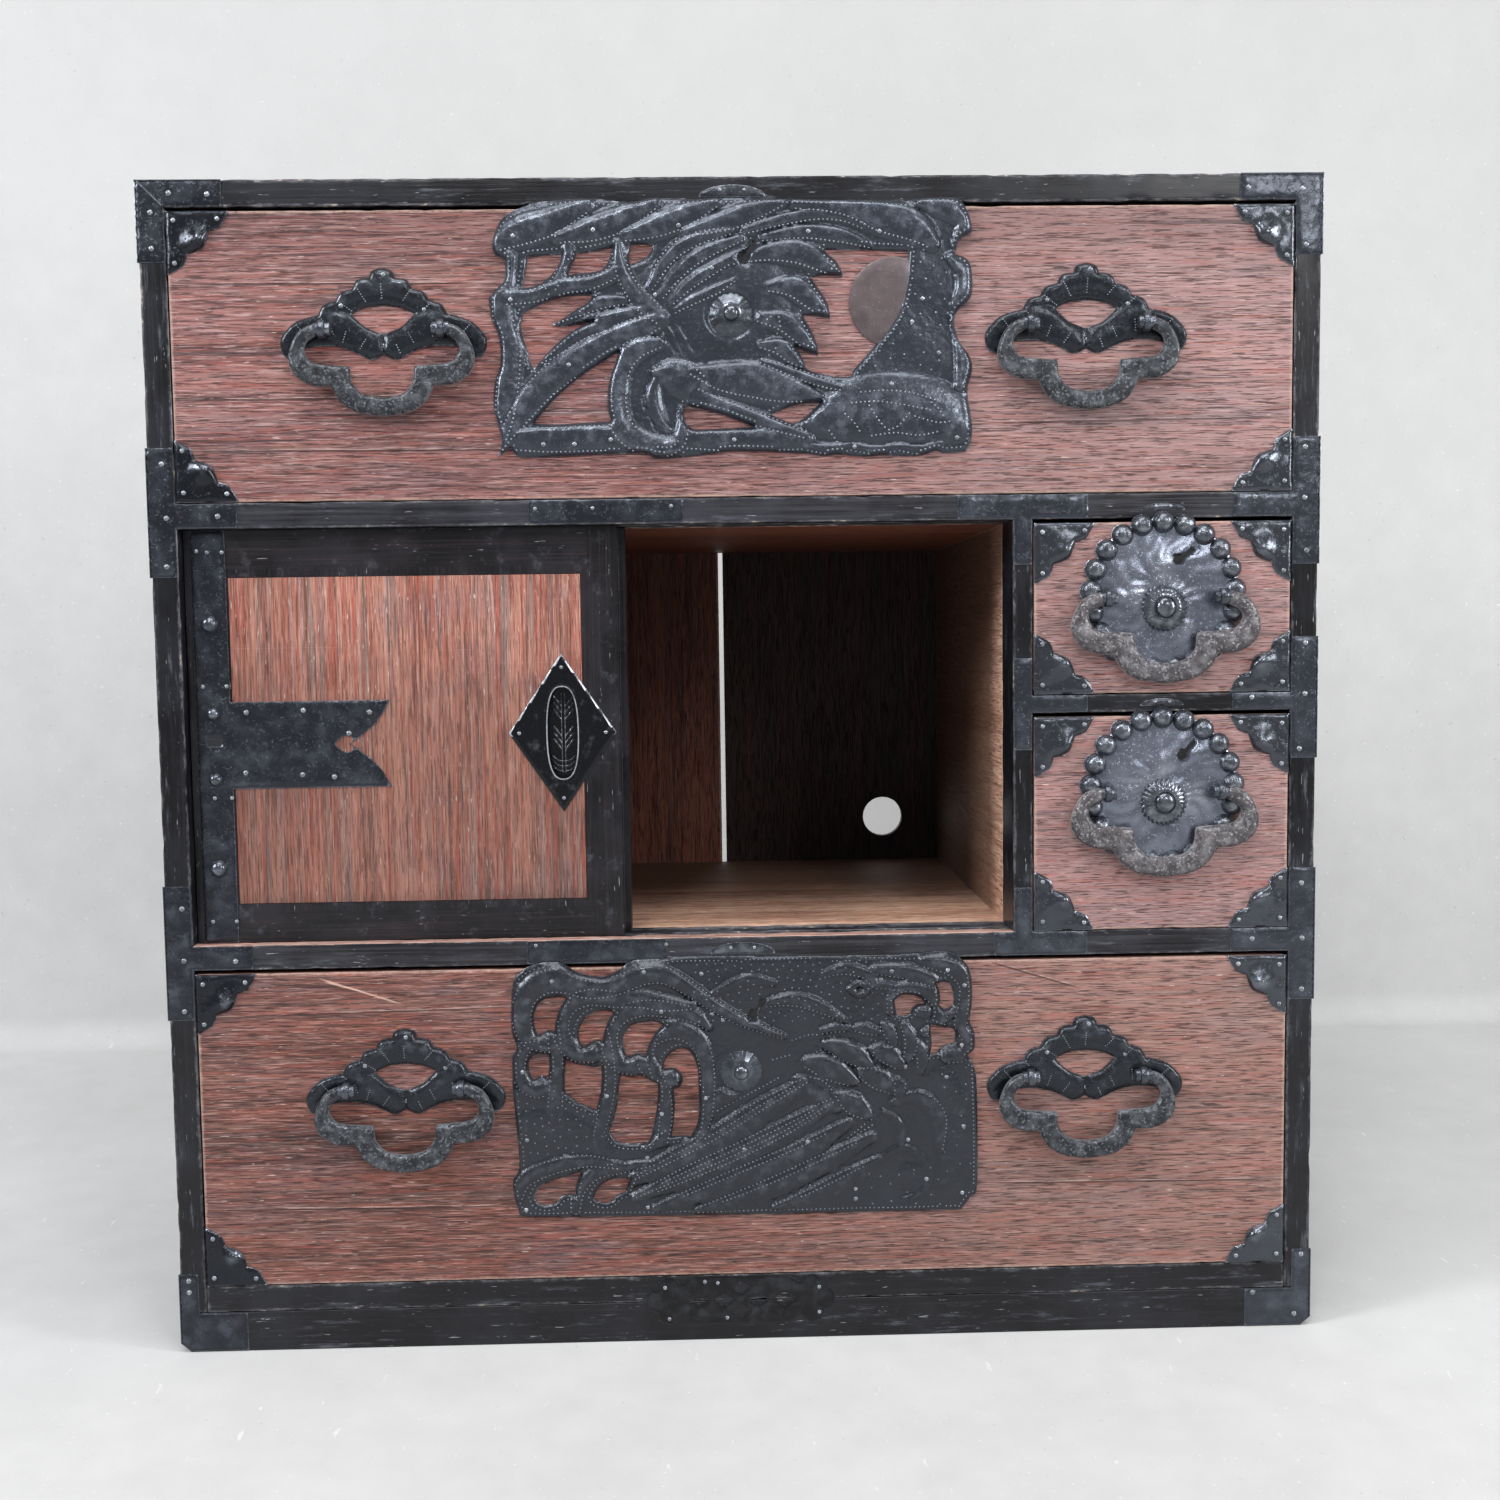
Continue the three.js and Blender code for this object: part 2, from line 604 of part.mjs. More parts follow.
function buildCase(chest, strikeLows) {
  const group = groupAt(chest, 0, frontPlane, 0);
  addPiece(group, "left_side", sideBoard(-1), lacquer);
  addPiece(group, "right_side", sideBoard(1), lacquer);
  addPiece(group, "top_board", topBoard(strikeLows.upper), lacquer);
  const bottom = block(innerLeft, innerRight, 0, backInner, baseHeight, bottomTop);
  addPiece(group, "bottom_board", bottom, lacquer);
  const crackLeft = backCrackPlace - backCrackWidth / 2;
  const leftBack = block(innerLeft, crackLeft, backInner, caseDepth, baseHeight, topUnderside);
  addPiece(group, "back_board_left", leftBack, backWood);
  addPiece(group, "back_board_right", backBoardRight(), backWood);
  addPiece(group, "upper_rail", upperRail(strikeLows.upperSmall), lacquer);
  const upperShelf = block(innerLeft, innerRight, railDepth, backInner, compartmentTop, upperRailTop);
  addPiece(group, "upper_shelf", upperShelf, innerWood);
  addPiece(group, "lower_rail", lowerRail(strikeLows.lower), lacquer);
  const lowerShelf = block(innerLeft, innerRight, railDepth, backInner, lowerRailBottom, compartmentFloor);
  addPiece(group, "lower_shelf", lowerShelf, innerWood);
  const partition = block(partitionLeft, partitionRight, 0, backInner, compartmentFloor, compartmentTop);
  addPiece(group, "partition", partition, lacquer);
  addPiece(group, "small_shelf", smallShelf(strikeLows.lowerSmall), lacquer);
  addPiece(group, "base_frame", baseFrame(), lacquer);
  buildCornerStraps(group);
  buildRailStraps(group);
  buildCentreStraps(group);
  addPiece(group, "base_ornament", baseOrnament(), iron);
}

// A block given by its distances from the middle, on the left or the right half of the case.
function sideBlock(side, near, far, front, back, low, high) {
  const faces = [side * near, side * far].sort((a, b) => a - b);
  return block(faces[0], faces[1], front, back, low, high);
}

const strapOuter = caseRight + strapThickness;

// Straps at the four corners, folded round onto the side and, above, let into the top.
function buildCornerStraps(group) {
  const low = caseHeight - cornerStrapDrop;
  const reach = caseRight - cornerStrapReach;
  const wornEdge = caseRight - baseCornerWear;
  for (const [word, side] of [["left", -1], ["right", 1]]) {
    const topStrap = joined(
      sideBlock(side, innerRight + strapInset, strapOuter, -strapThickness, 0, low, caseHeight),
      sideBlock(side, reach, strapOuter, -strapThickness, 0, topUnderside + strapInset, caseHeight),
      sideBlock(side, caseRight, strapOuter, -strapThickness, strapWrap, low, caseHeight),
      sideBlock(side, reach, strapOuter, -strapThickness, strapWrap, caseHeight - strapThickness, caseHeight),
    );
    addPiece(group, "strap_top_" + word, topStrap, iron);
    const foot = [
      [caseRight - baseStrapReach, strapThickness], [wornEdge, strapThickness],
      [strapOuter, baseCornerWear + strapThickness], [strapOuter, baseStrapHeight],
      [caseRight - baseStrapStile, baseStrapHeight],
      [caseRight - baseStrapStile, baseHeight - strapInset],
      [caseRight - baseStrapReach, baseHeight - strapInset],
    ].map(([x, z]) => [side * x, z]);
    const baseStrap = joined(
      plate(foot, [], -strapThickness, 0),
      sideBlock(side, caseRight, strapOuter, -strapThickness, strapWrap, baseCornerWear + strapThickness,
        baseStrapHeight),
    );
    addPiece(group, "strap_base_" + word, baseStrap, iron);
  }
}

// A strap over the end of a rail: a strip up and down the stile with a leg along the rail.
function railStrap(side, railLow, railHigh, up, down) {
  const low = railLow - down;
  const high = railHigh + up;
  return joined(
    sideBlock(side, innerRight + strapInset, strapOuter, -strapThickness, 0, low, high),
    sideBlock(side, caseRight - railStrapReach, strapOuter, -strapThickness, 0, railLow + strapInset,
      railHigh - strapInset),
    sideBlock(side, caseRight, strapOuter, -strapThickness, strapWrap, low, high),
  );
}

function buildRailStraps(group) {
  for (const [word, side] of [["left", -1], ["right", 1]]) {
    const upper = railStrap(side, compartmentTop, upperRailTop, upperStrapUp, upperStrapDown);
    addPiece(group, "strap_upper_" + word, upper, iron);
    const lower = railStrap(side, lowerRailBottom, compartmentFloor, lowerStrapUp, lowerStrapDown);
    addPiece(group, "strap_lower_" + word, lower, iron);
  }
  const small = railStrap(1, smallShelfBottom, smallShelfTop, smallStrapUp, smallStrapDown);
  addPiece(group, "strap_small_right", small, iron);
}

// Straps where the partition meets the rails.
function buildCentreStraps(group) {
  const stemLeft = partitionLeft + strapInset;
  const stemRight = partitionRight - strapInset;
  const upperCross = block(partitionLeft - centreStrapReach, partitionRight + centreStrapReach,
    -strapThickness, 0, compartmentTop + strapInset, upperRailTop - strapInset);
  const upperStem = block(stemLeft, stemRight, -strapThickness, 0, compartmentTop - centreStrapStem,
    upperRailTop - strapInset);
  addPiece(group, "strap_centre_top", joined(upperCross, upperStem), iron);
  const middleStem = block(stemLeft, stemRight, -strapThickness, 0, smallShelfBottom - middleStrapRise,
    smallShelfTop + middleStrapRise);
  const middleLeg = block(stemLeft, partitionRight + centreStrapReach, -strapThickness, 0,
    smallShelfBottom + strapInset, smallShelfTop - strapInset);
  addPiece(group, "strap_centre_mid", joined(middleStem, middleLeg), iron);
  const lowerStem = block(stemLeft, stemRight, -strapThickness, 0, lowerRailBottom + strapInset,
    compartmentFloor + centreStrapStem);
  const lowerCross = block(partitionLeft - partitionThickness, partitionRight + centreStrapReach,
    -strapThickness, 0, lowerRailBottom + strapInset, compartmentFloor - strapInset);
  addPiece(group, "strap_centre_base", joined(lowerCross, lowerStem), iron);
}

// The ornament: a cloud-ended plate with a trefoil at each end, pierced with lozenges.
function baseOrnament() {
  const middle = ornamentRise + ornamentHeight / 2;
  const outline = traced(bothHalves(ornamentShares), ornamentWidth, ornamentHeight);
  const body = outline.map(([x, z]) => [ornamentShift + x, middle + z]);
  const lobes = [];
  for (const side of [-1, 1]) {
    const tip = ornamentWidth / 2 - ornamentLobeRadius;
    const inner = tip - ornamentLobeRadius * 0.9;
    const spread = ornamentHeight / 2 - ornamentLobeRadius;
    for (const [x, z] of [[tip, 0], [inner, spread], [inner, -spread]]) {
      lobes.push(plate(
        circlePoints(ornamentShift + side * x, middle + z, ornamentLobeRadius, pinSides),
        [], -ornamentThickness, 0,
      ));
    }
  }
  const lozenges = ornamentLozengeShares.map(([x, z, width, height]) => plate(
    lozengeShares.map(([a, b]) => [
      ornamentShift + (x + a * width) * ornamentWidth,
      middle + (z + b * height) * ornamentHeight,
    ]),
    [], -ornamentThickness - overrun, overrun,
  ));
  return cut(joined(plate(body, [], -ornamentThickness, 0), ...lobes), ...lozenges);
}

// Doors

// Outline points in the door's own frame, turned round for the door that closes to the right.
function across(points, mirrored) {
  return points.map(([x, z]) => [mirrored ? doorWidth - x : x, z]);
}

function doorBlock(mirrored, left, right, front, back, low, high) {
  return mirrored
    ? block(doorWidth - right, doorWidth - left, front, back, low, high)
    : block(left, right, front, back, low, high);
}

const doorTop = compartmentHeight - doorFloorGap;
const panelLeft = lockStileWidth;
const panelRight = doorWidth - meetingStileWidth;
const panelLow = doorFloorGap + doorBottomRail;
const panelHigh = doorTop - doorTopRail;

function doorFrame(mirrored) {
  const tongueFront = (doorThickness - doorTongue) / 2;
  const slotFront = panelThickness - panelTongueThickness - panelClearance;
  const slotBack = panelThickness + panelClearance;
  const slotWidth = panelTongueWidth + panelClearance;
  const frame = joined(
    doorBlock(mirrored, 0, doorWidth, 0, doorThickness, doorFloorGap, doorTop),
    doorBlock(mirrored, 0, doorWidth, tongueFront, tongueFront + doorTongue,
      trackClearance - sillGrooveDepth, compartmentHeight + headGrooveDepth - headClearance),
  );
  return cut(
    frame,
    doorBlock(mirrored, panelLeft, panelRight, -overrun, doorThickness + overrun, panelLow, panelHigh),
    doorBlock(mirrored, panelLeft - slotWidth, panelRight + slotWidth, slotFront, slotBack,
      panelLow - slotWidth, panelHigh + slotWidth),
  );
}

function ovalPoints(x, z, width, height, count) {
  return circlePoints(0, 0, 1, count).map(([a, b]) => [x + (a * width) / 2, z + (b * height) / 2]);
}

const pullMiddle = doorWidth - pullInset;

function doorPanel(mirrored) {
  const gap = panelClearance;
  const tongue = panelTongueWidth;
  const body = joined(
    doorBlock(mirrored, panelLeft + gap, panelRight - gap, 0, panelThickness, panelLow + gap,
      panelHigh - gap),
    doorBlock(mirrored, panelLeft - tongue, panelRight + tongue, panelThickness - panelTongueThickness,
      panelThickness, panelLow - tongue, panelHigh + tongue),
  );
  const pocketWidth = dishWidth + 2 * panelClearance;
  const pocketHeight = dishHeight + 2 * panelClearance;
  const pocket = across(ovalPoints(pullMiddle, pullRise, pocketWidth, pocketHeight, roundSides), mirrored);
  return cut(body, plate(pocket, [], -overrun, dishDepth + dishWall + panelClearance));
}

// A low dome at the head of a nail.
function stud(x, z, radius, height) {
  const profile = [
    [0, 0], [radius, 0], [radius * 0.87, height / 2], [radius / 2, height * 0.87], [0, height],
  ];
  return turned(profile, x, z, pinSides).translate(0, -doorStrapThickness, 0);
}

// The strap down the lock stile, and the fishtail plate that runs from it across the panel.
function doorStrap(mirrored, domed) {
  const left = doorStrapInset;
  const right = left + doorStrapWidth;
  const middle = (left + right) / 2;
  const low = fishtailRise - fishtailHeight / 2;
  const high = fishtailRise + fishtailHeight / 2;
  const tail = across([
    [right - overrun, low], [right + fishtailLength, low],
    [right + fishtailLength - fishtailNotch / 3, fishtailRise - fishtailHeight / 4],
    [right + fishtailLength - fishtailNotch, fishtailRise],
    [right + fishtailLength - fishtailNotch / 3, fishtailRise + fishtailHeight / 4],
    [right + fishtailLength, high], [right - overrun, high],
  ], mirrored);
  const heart = traced(heartShares, heartWidth, heartHeight)
    .map(([x, z]) => [right + fishtailLength - heartPlace + x, fishtailRise + z]);
  const pieces = [
    doorBlock(mirrored, left, right, -doorStrapThickness, 0, doorFloorGap, doorTop),
    plate(tail, [across(heart, mirrored)], -doorStrapThickness, 0),
  ];
  if (domed) {
    for (const side of [-1, 1]) {
      pieces.push(stud(middle, studRise + side * studSpread, studRadius, studHeight));
      pieces.push(stud(middle, studRise + side * smallStudSpread, smallStudRadius, smallStudHeight));
    }
  }
  const slot = doorBlock(mirrored, middle - keySlotWide / 2, middle + keySlotWide / 2, -overrun, overrun,
    keySlotRise - keySlotTall / 2, keySlotRise + keySlotTall / 2);
  return cut(joined(...pieces), slot);
}

// The lozenge plate with an oval dish sunk in its middle for the fingers.
function doorPull(mirrored) {
  const x = mirrored ? doorWidth - pullMiddle : pullMiddle;
  const lozenge = placed(lozengeShares, pullWidth, pullHeight, x, pullRise);
  const bowl = (width, height, depth, front) => {
    const rows = [[0, front], [1, front], [1, 0], [0.94, depth * 0.7], [0.75, depth], [0, depth]];
    const half = width / 2;
    const lathe = new THREE.LatheGeometry(rows.map(([r, y]) => new THREE.Vector2(r * half, y)), roundSides);
    return lathe.scale(1, 1, height / width).translate(x, 0, pullRise);
  };
  const outer = bowl(dishWidth, dishHeight, dishDepth + dishWall, -pullThickness);
  const inner = bowl(dishWidth - 2 * dishWall, dishHeight - 2 * dishWall, dishDepth, -overrun);
  return cut(joined(plate(lozenge, [], -pullThickness, 0), outer), inner);
}

function buildDoor(chest, word, left, setback, mirrored) {
  const group = groupAt(chest, left, frontPlane + setback, compartmentFloor);
  addPiece(group, word + "_door_frame", doorFrame(mirrored), lacquer);
  addPiece(group, word + "_door_panel", doorPanel(mirrored), doorWood);
  addPiece(group, word + "_door_strap", doorStrap(mirrored, !mirrored), iron);
  addPiece(group, word + "_door_pull", doorPull(mirrored), iron);
}

// Handles

// A bail hanging from its two end pins. The origin is the middle of the pins.
function bail(halfWidth, spacing) {
  const armEnd = spacing / 2 + eyeWidth / 2 + pinClearance;
  const sized = (runs) => runs.map((run) => run.map(([x, z]) => [x * halfWidth, z * bailDrop]));
  const outer = sized(bailOuterShares);
  const inner = sized(bailInnerShares);
  outer[1].push([armEnd, bailEndWidth / 2]);
  inner[0].unshift([armEnd, -bailEndWidth / 2]);
  const half = [...outer, [outer[1].at(-1), inner[0][0]], ...inner];
  const outline = traced(bothHalves(half), 1, 1);
  const shape = new THREE.Shape(outline.map(([x, z]) => new THREE.Vector2(x, z)));
  const ring = new THREE.ExtrudeGeometry(shape, {
    depth: bailThickness - 2 * bailBevel,
    bevelThickness: bailBevel,
    bevelSize: bailBevel,
    bevelOffset: -bailBevel,
    bevelSegments: 1,
  }).rotateX(Math.PI / 2).translate(0, bailThickness / 2 - bailBevel, 0);
  const pieces = [ring];
  const knobOuter = spacing / 2 - eyeWidth / 2 - pinClearance;
  for (const side of [-1, 1]) {
    const pin = [side * (knobOuter - pinKnobLength / 2), side * (armEnd + bailBevel)].sort((a, b) => a - b);
    const knob = [side * knobOuter, side * (knobOuter - pinKnobLength)].sort((a, b) => a - b);
    pieces.push(barAlongX(pinRadius, pin[0], pin[1], 0, 0, pinSides));
    pieces.push(barAlongX(pinKnobRadius, knob[0], knob[1], 0, 0, pinSides));
  }
  return joined(...pieces);
}

// The two eyes of a bail, standing on a plate. Returns rings to join and bores to cut.
function eyes(z, plateThickness, spacing) {
  const y = -plateThickness - eyeReach;
  const rings = [];
  const bores = [];
  for (const side of [-1, 1]) {
    const middle = (side * spacing) / 2;
    rings.push(barAlongX(eyeRadius, middle - eyeWidth / 2, middle + eyeWidth / 2, y, z, pinSides));
    bores.push(barAlongX(eyeHoleRadius, middle - eyeWidth / 2 - overrun, middle + eyeWidth / 2 + overrun,
      y, z, pinSides));
  }
  return { rings, bores };
}

function handlePlate() {
  const outline = traced(bothHalves(handlePlateShares), handlePlateHalfWidth, handlePlateRise);
  const lens = traced(bothHalves(lensShares), handlePlateHalfWidth, handlePlateRise);
  const { rings, bores } = eyes(0, handlePlateThickness, eyeSpacing);
  return cut(joined(plate(outline, [lens], -handlePlateThickness, 0), ...rings), ...bores);
}

function buildLongHandles(group, name, openingHeight, drop) {
  const height = openingHeight - drawerFloorGap - drawerTopGap - drop;
  for (const [word, side] of [["left", -1], ["right", 1]]) {
    const place = groupAt(group, side * handleSpread, 0, height);
    addPiece(place, name + "_handle_plate_" + word, handlePlate(), iron);
    const hinge = groupAt(place, 0, -bailReach, 0);
    addPiece(hinge, name + "_bail_" + word, bail(bailHalfWidth, eyeSpacing), castIron);
  }
}

// Locks

// The fluted washer round a push button.
function boss(x, z, thickness) {
  const profile = [
    [0, 0], [bossRadius, 0], [bossRadius, bossHeight * 0.25], [bossRadius * 0.68, bossHeight * 0.65],
    [bossRadius * 0.4, bossHeight], [0, bossHeight],
  ];
  return turned(profile, x, z, bossSides).translate(0, -thickness + bossSink, 0);
}

function buttonBore(x, z) {
  return boreAlongY(buttonRadius + buttonClearance, -bossHeight - frontThickness,
    buttonStem + buttonTravel + buttonRoom, x, z, pinSides);
}

function button(x, z, thickness) {
  const out = thickness - bossSink + bossHeight + buttonProud;
  const profile = [
    [0, -buttonStem], [buttonRadius, -buttonStem], [buttonRadius, out - buttonRadius / 2],
    [buttonRadius * 0.7, out - buttonRadius * 0.15], [0, out],
  ];
  return turned(profile, x, z, pinSides);
}

// An openwork lock plate: the outline and piercings, with the boss and the bore of its button.
function openworkPlate(outlineShares, piercingShares, height, rise, keyholeShare, lean, bossShare) {
  const at = (shares) => placed(shares, lockPlateWidth, height, lockPlateShift, rise);
  const [[keyX, keyZ]] = at([keyholeShare]);
  const [[bossX, bossZ]] = at([bossShare]);
  const holes = [...piercingShares.map((shares) => at(shares)), keyholePoints(keyX, keyZ, lean)];
  const piercings = holes.map((points) => plate(points, [], -lockPlateThickness - overrun, overrun));
  const sheet = plate(at(outlineShares), [], -lockPlateThickness, 0);
  const body = joined(sheet, boss(bossX, bossZ, lockPlateThickness));
  return cut(body, ...piercings, buttonBore(bossX, bossZ));
}

function upperLockPlate() {
  const [[x, z]] = placed([moonShare], lockPlateWidth, upperLockPlateHeight, lockPlateShift,
    upperLockPlateRise);
  const sheet = openworkPlate(upperPlateShares, upperPiercingShares, upperLockPlateHeight, upperLockPlateRise,
    upperKeyholeShare, upperKeyholeLean, upperBossShare);
  return joined(sheet, plate(circlePoints(x, z, moonRadius, roundSides), [], -moonThickness, 0));
}

function lowerLockPlate() {
  return openworkPlate(lowerPlateShares, lowerPiercingShares, lowerLockPlateHeight, lowerLockPlateRise,
    lowerKeyholeShare, lowerKeyholeLean, lowerBossShare);
}

// The scalloped edge of a round plate: the outer arc of each bead in the ring.
function beadedOutline(z) {
  const step = (2 * Math.PI) / (roundPlateBeads * beadSteps);
  return Array.from({ length: roundPlateBeads * beadSteps }, (_, i) => {
    const off = (((i + beadSteps / 2) % beadSteps) - beadSteps / 2) * step;
    const side = roundPlateRing * Math.sin(off);
    const bulge = Math.sqrt(Math.max(roundPlateBeadRadius ** 2 - side ** 2, 0));
    const radius = roundPlateRing * Math.cos(off) + bulge;
    const turn = Math.PI / 2 + i * step;
    return [radius * Math.cos(turn), z + radius * Math.sin(turn)];
  });
}

function roundLockPlate(height, keyholeShare, lean) {
  const [keyX, keyZ] = keyholeShare.map((share) => share * roundPlateRing);
  const keyhole = keyholePoints(keyX, height + keyZ, lean);
  const sheet = plate(beadedOutline(height), [keyhole], -roundPlateThickness, 0);
  const { rings, bores } = eyes(height - roundEyeDrop, roundPlateThickness, smallEyeSpacing);
  const bossZ = height - roundBossDrop;
  const body = joined(sheet, boss(0, bossZ, roundPlateThickness), ...rings);
  return cut(body, ...bores, buttonBore(0, bossZ));
}

// Drawers

// A corner fitting, laid in a corner of a front: xSide and zSide point into the wood.
function cornerFitting(x, z, xSide, zSide, leg) {
  const points = traced(fittingShares, leg, leg).map(([a, b]) => [x + xSide * a, z + zSide * b]);
  return plate(points, [], -fittingThickness, 0);
}

function drawerFront(width, height, bossX, bossZ, leg) {
  const half = width / 2;
  const pieces = [block(-half, half, 0, frontThickness, 0, height)];
  for (const xSide of [-1, 1]) {
    pieces.push(cornerFitting(xSide * half, 0, -xSide, 1, leg));
    pieces.push(cornerFitting(xSide * half, height, -xSide, -1, leg));
  }
  return cut(joined(...pieces), buttonBore(bossX, bossZ));
}

function drawerBox(width, height) {
  const half = width / 2;
  const outer = block(-half, half, frontThickness, drawerLength, 0, height - drawerSideDrop);
  const hollow = block(-half + drawerWall, half - drawerWall, frontThickness - overrun,
    drawerLength - drawerWall, drawerBottom, height + overrun);
  return cut(solid(outer), hollow);
}

// A drawer in its opening. The group's origin is at the middle of the front's lower edge.
function buildDrawer(chest, name, left, right, low, high, bossX, bossZ, lockThickness, leg) {
  const group = groupAt(chest, (left + right) / 2, frontPlane - frontProud, low + drawerFloorGap);
  const width = right - left - 2 * drawerSideGap;
  const height = high - low - drawerFloorGap - drawerTopGap;
  addPiece(group, name + "_front", drawerFront(width, height, bossX, bossZ, leg), frontWood);
  addPiece(group, name + "_box", drawerBox(width, height), innerWood);
  addPiece(group, name + "_lock_button", button(bossX, bossZ, lockThickness), iron);
  return group;
}

function buildUpperDrawer(chest) {
  const [[x, z]] = placed([upperBossShare], lockPlateWidth, upperLockPlateHeight, lockPlateShift,
    upperLockPlateRise);
  const group = buildDrawer(chest, "upper_drawer", innerLeft, innerRight, upperRailTop, topUnderside, x, z,
    lockPlateThickness, fittingLeg);
  addPiece(group, "upper_drawer_lock_plate", upperLockPlate(), iron);
  buildLongHandles(group, "upper_drawer", upperOpeningHeight, upperHandleDrop);
}

function buildLowerDrawer(chest) {
  const [[x, z]] = placed([lowerBossShare], lockPlateWidth, lowerLockPlateHeight, lockPlateShift,
    lowerLockPlateRise);
  const group = buildDrawer(chest, "lower_drawer", innerLeft, innerRight, bottomTop, lowerRailBottom, x, z,
    lockPlateThickness, fittingLeg);
  addPiece(group, "lower_drawer_lock_plate", lowerLockPlate(), iron);
  buildLongHandles(group, "lower_drawer", lowerOpeningHeight, lowerHandleDrop);
}

function buildSmallDrawer(chest, name, low, high, lap, keyholeShare, lean) {
  const plateHeight = high + lap - roundPlateOuter - low - drawerFloorGap;
  const group = buildDrawer(chest, name, partitionRight, innerRight, low, high, 0,
    plateHeight - roundBossDrop, roundPlateThickness, smallFittingLeg);
  addPiece(group, name + "_lock_plate", roundLockPlate(plateHeight, keyholeShare, lean), iron);
  const hinge = groupAt(group, 0, -roundPlateThickness - eyeReach, plateHeight - roundEyeDrop);
  addPiece(hinge, name + "_bail", bail(smallBailHalfWidth, smallEyeSpacing), castIron);
}

const chest = new THREE.Group();
buildCase(chest, {
  upper: topUnderside + upperPlateLap + strikeClearance,
  lower: lowerRailBottom + lowerPlateLap + strikeClearance,
  upperSmall: compartmentTop + upperRoundPlateLap + strikeClearance,
  lowerSmall: smallShelfBottom + lowerRoundPlateLap + strikeClearance,
});
buildDoor(chest, "outer", innerLeft + doorSideGap, outerDoorSetback, false);
buildDoor(chest, "inner", innerLeft + doorSideGap + innerDoorShift, outerDoorSetback + doorSpacing, true);
buildUpperDrawer(chest);
buildLowerDrawer(chest);
buildSmallDrawer(chest, "small_upper_drawer", smallShelfTop, compartmentTop, upperRoundPlateLap,
  upperRoundKeyholeShare, upperRoundKeyholeLean);
buildSmallDrawer(chest, "small_lower_drawer", compartmentFloor, smallShelfBottom, lowerRoundPlateLap,
  lowerRoundKeyholeShare, lowerRoundKeyholeLean);

export default chest;
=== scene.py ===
# A ship chest: lacquered boards, open-grained fronts and chased iron plates with swinging bails.
# Sizes below are in millimetres in the row frame, and become metres when a mesh is made.
import math
import random

import bpy
import numpy as np
from mathutils import Matrix, Vector, geometry
from mathutils.noise import noise as noise_at


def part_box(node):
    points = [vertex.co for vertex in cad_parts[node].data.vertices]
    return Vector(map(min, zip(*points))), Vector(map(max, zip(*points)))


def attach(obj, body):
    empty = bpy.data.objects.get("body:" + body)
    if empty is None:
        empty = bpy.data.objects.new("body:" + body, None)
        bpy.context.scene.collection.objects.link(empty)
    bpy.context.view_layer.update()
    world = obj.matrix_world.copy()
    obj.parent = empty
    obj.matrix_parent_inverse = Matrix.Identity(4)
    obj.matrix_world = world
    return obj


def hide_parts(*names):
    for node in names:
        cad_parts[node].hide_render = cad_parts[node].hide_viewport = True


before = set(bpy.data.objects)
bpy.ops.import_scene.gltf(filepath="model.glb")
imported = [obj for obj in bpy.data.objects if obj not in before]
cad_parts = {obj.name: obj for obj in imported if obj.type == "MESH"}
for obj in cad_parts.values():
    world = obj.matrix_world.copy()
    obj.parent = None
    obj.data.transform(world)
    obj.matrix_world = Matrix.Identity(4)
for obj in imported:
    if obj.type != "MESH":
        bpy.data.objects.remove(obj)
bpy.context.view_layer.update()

MM = 0.001
scene = bpy.context.scene

FRONT = -199.2          # the face of the case
PROUD = -199.6          # the face of the drawers
BACK = 215.8            # the back of the case
RAIL_BACK = -154.2      # the back of the rails and the post
SIDE = 440.0            # the outer faces of the sides
OUTER_DOOR = -189.2
INNER_DOOR = -171.2
PIN = -208.6            # where the bails turn in their eyes
FLOOR_EDGE = 751.0      # where the floor meets the wall
CAMERA_PLACE = (-23, FRONT - 1176, 545)
CAMERA_TURN = (-1.40, 4.07, -0.78)      # to the left, down and over, in degrees
SENSOR = 36
LENS = SENSOR * 1550 / 1500


def aim_camera():
    yaw, pitch, roll = (math.radians(a) for a in CAMERA_TURN)
    right = Vector((math.cos(yaw), math.sin(yaw), 0))
    ahead = Vector((-math.sin(yaw), math.cos(yaw), 0))
    up = Vector((0, 0, 1))
    ahead, up = (ahead * math.cos(pitch) - up * math.sin(pitch), ahead * math.sin(pitch) + up * math.cos(pitch))
    right, up = (right * math.cos(roll) + up * math.sin(roll), up * math.cos(roll) - right * math.sin(roll))
    place = Vector(CAMERA_PLACE) * MM
    data = bpy.data.cameras.new("camera")
    data.sensor_width = SENSOR
    data.lens = LENS
    data.clip_start = 0.02
    camera = bpy.data.objects.new("camera", data)
    camera.matrix_world = Matrix([[right[i], up[i], -ahead[i], place[i]] for i in range(3)] + [[0, 0, 0, 1]])
    scene.collection.objects.link(camera)
    scene.camera = camera


aim_camera()
scene.view_settings.view_transform = "Standard"


# Finishes

def tint(red, green, blue):
    """A colour given on the screen's scale, as the light values that shaders use."""
    scale = [c / 255 for c in (red, green, blue)]
    return tuple(c / 12.92 if c <= 0.04045 else ((c + 0.055) / 1.055) ** 2.4 for c in scale) + (1.0,)


def deepened(colour, by):
    return tuple(c * by for c in colour[:3]) + (1.0,)


class Value:
    """A number that varies over a surface. Arithmetic on it adds the nodes that work it out."""

    def __init__(self, finish, socket):
        self.finish, self.socket = finish, socket

    def __add__(self, other):
        return self.finish.math("ADD", self, other)

    def __sub__(self, other):
        return self.finish.math("SUBTRACT", self, other)

    def __rsub__(self, other):
        return self.finish.math("SUBTRACT", other, self)

    def __mul__(self, other):
        return self.finish.math("MULTIPLY", self, other)

    __radd__, __rmul__ = __add__, __mul__


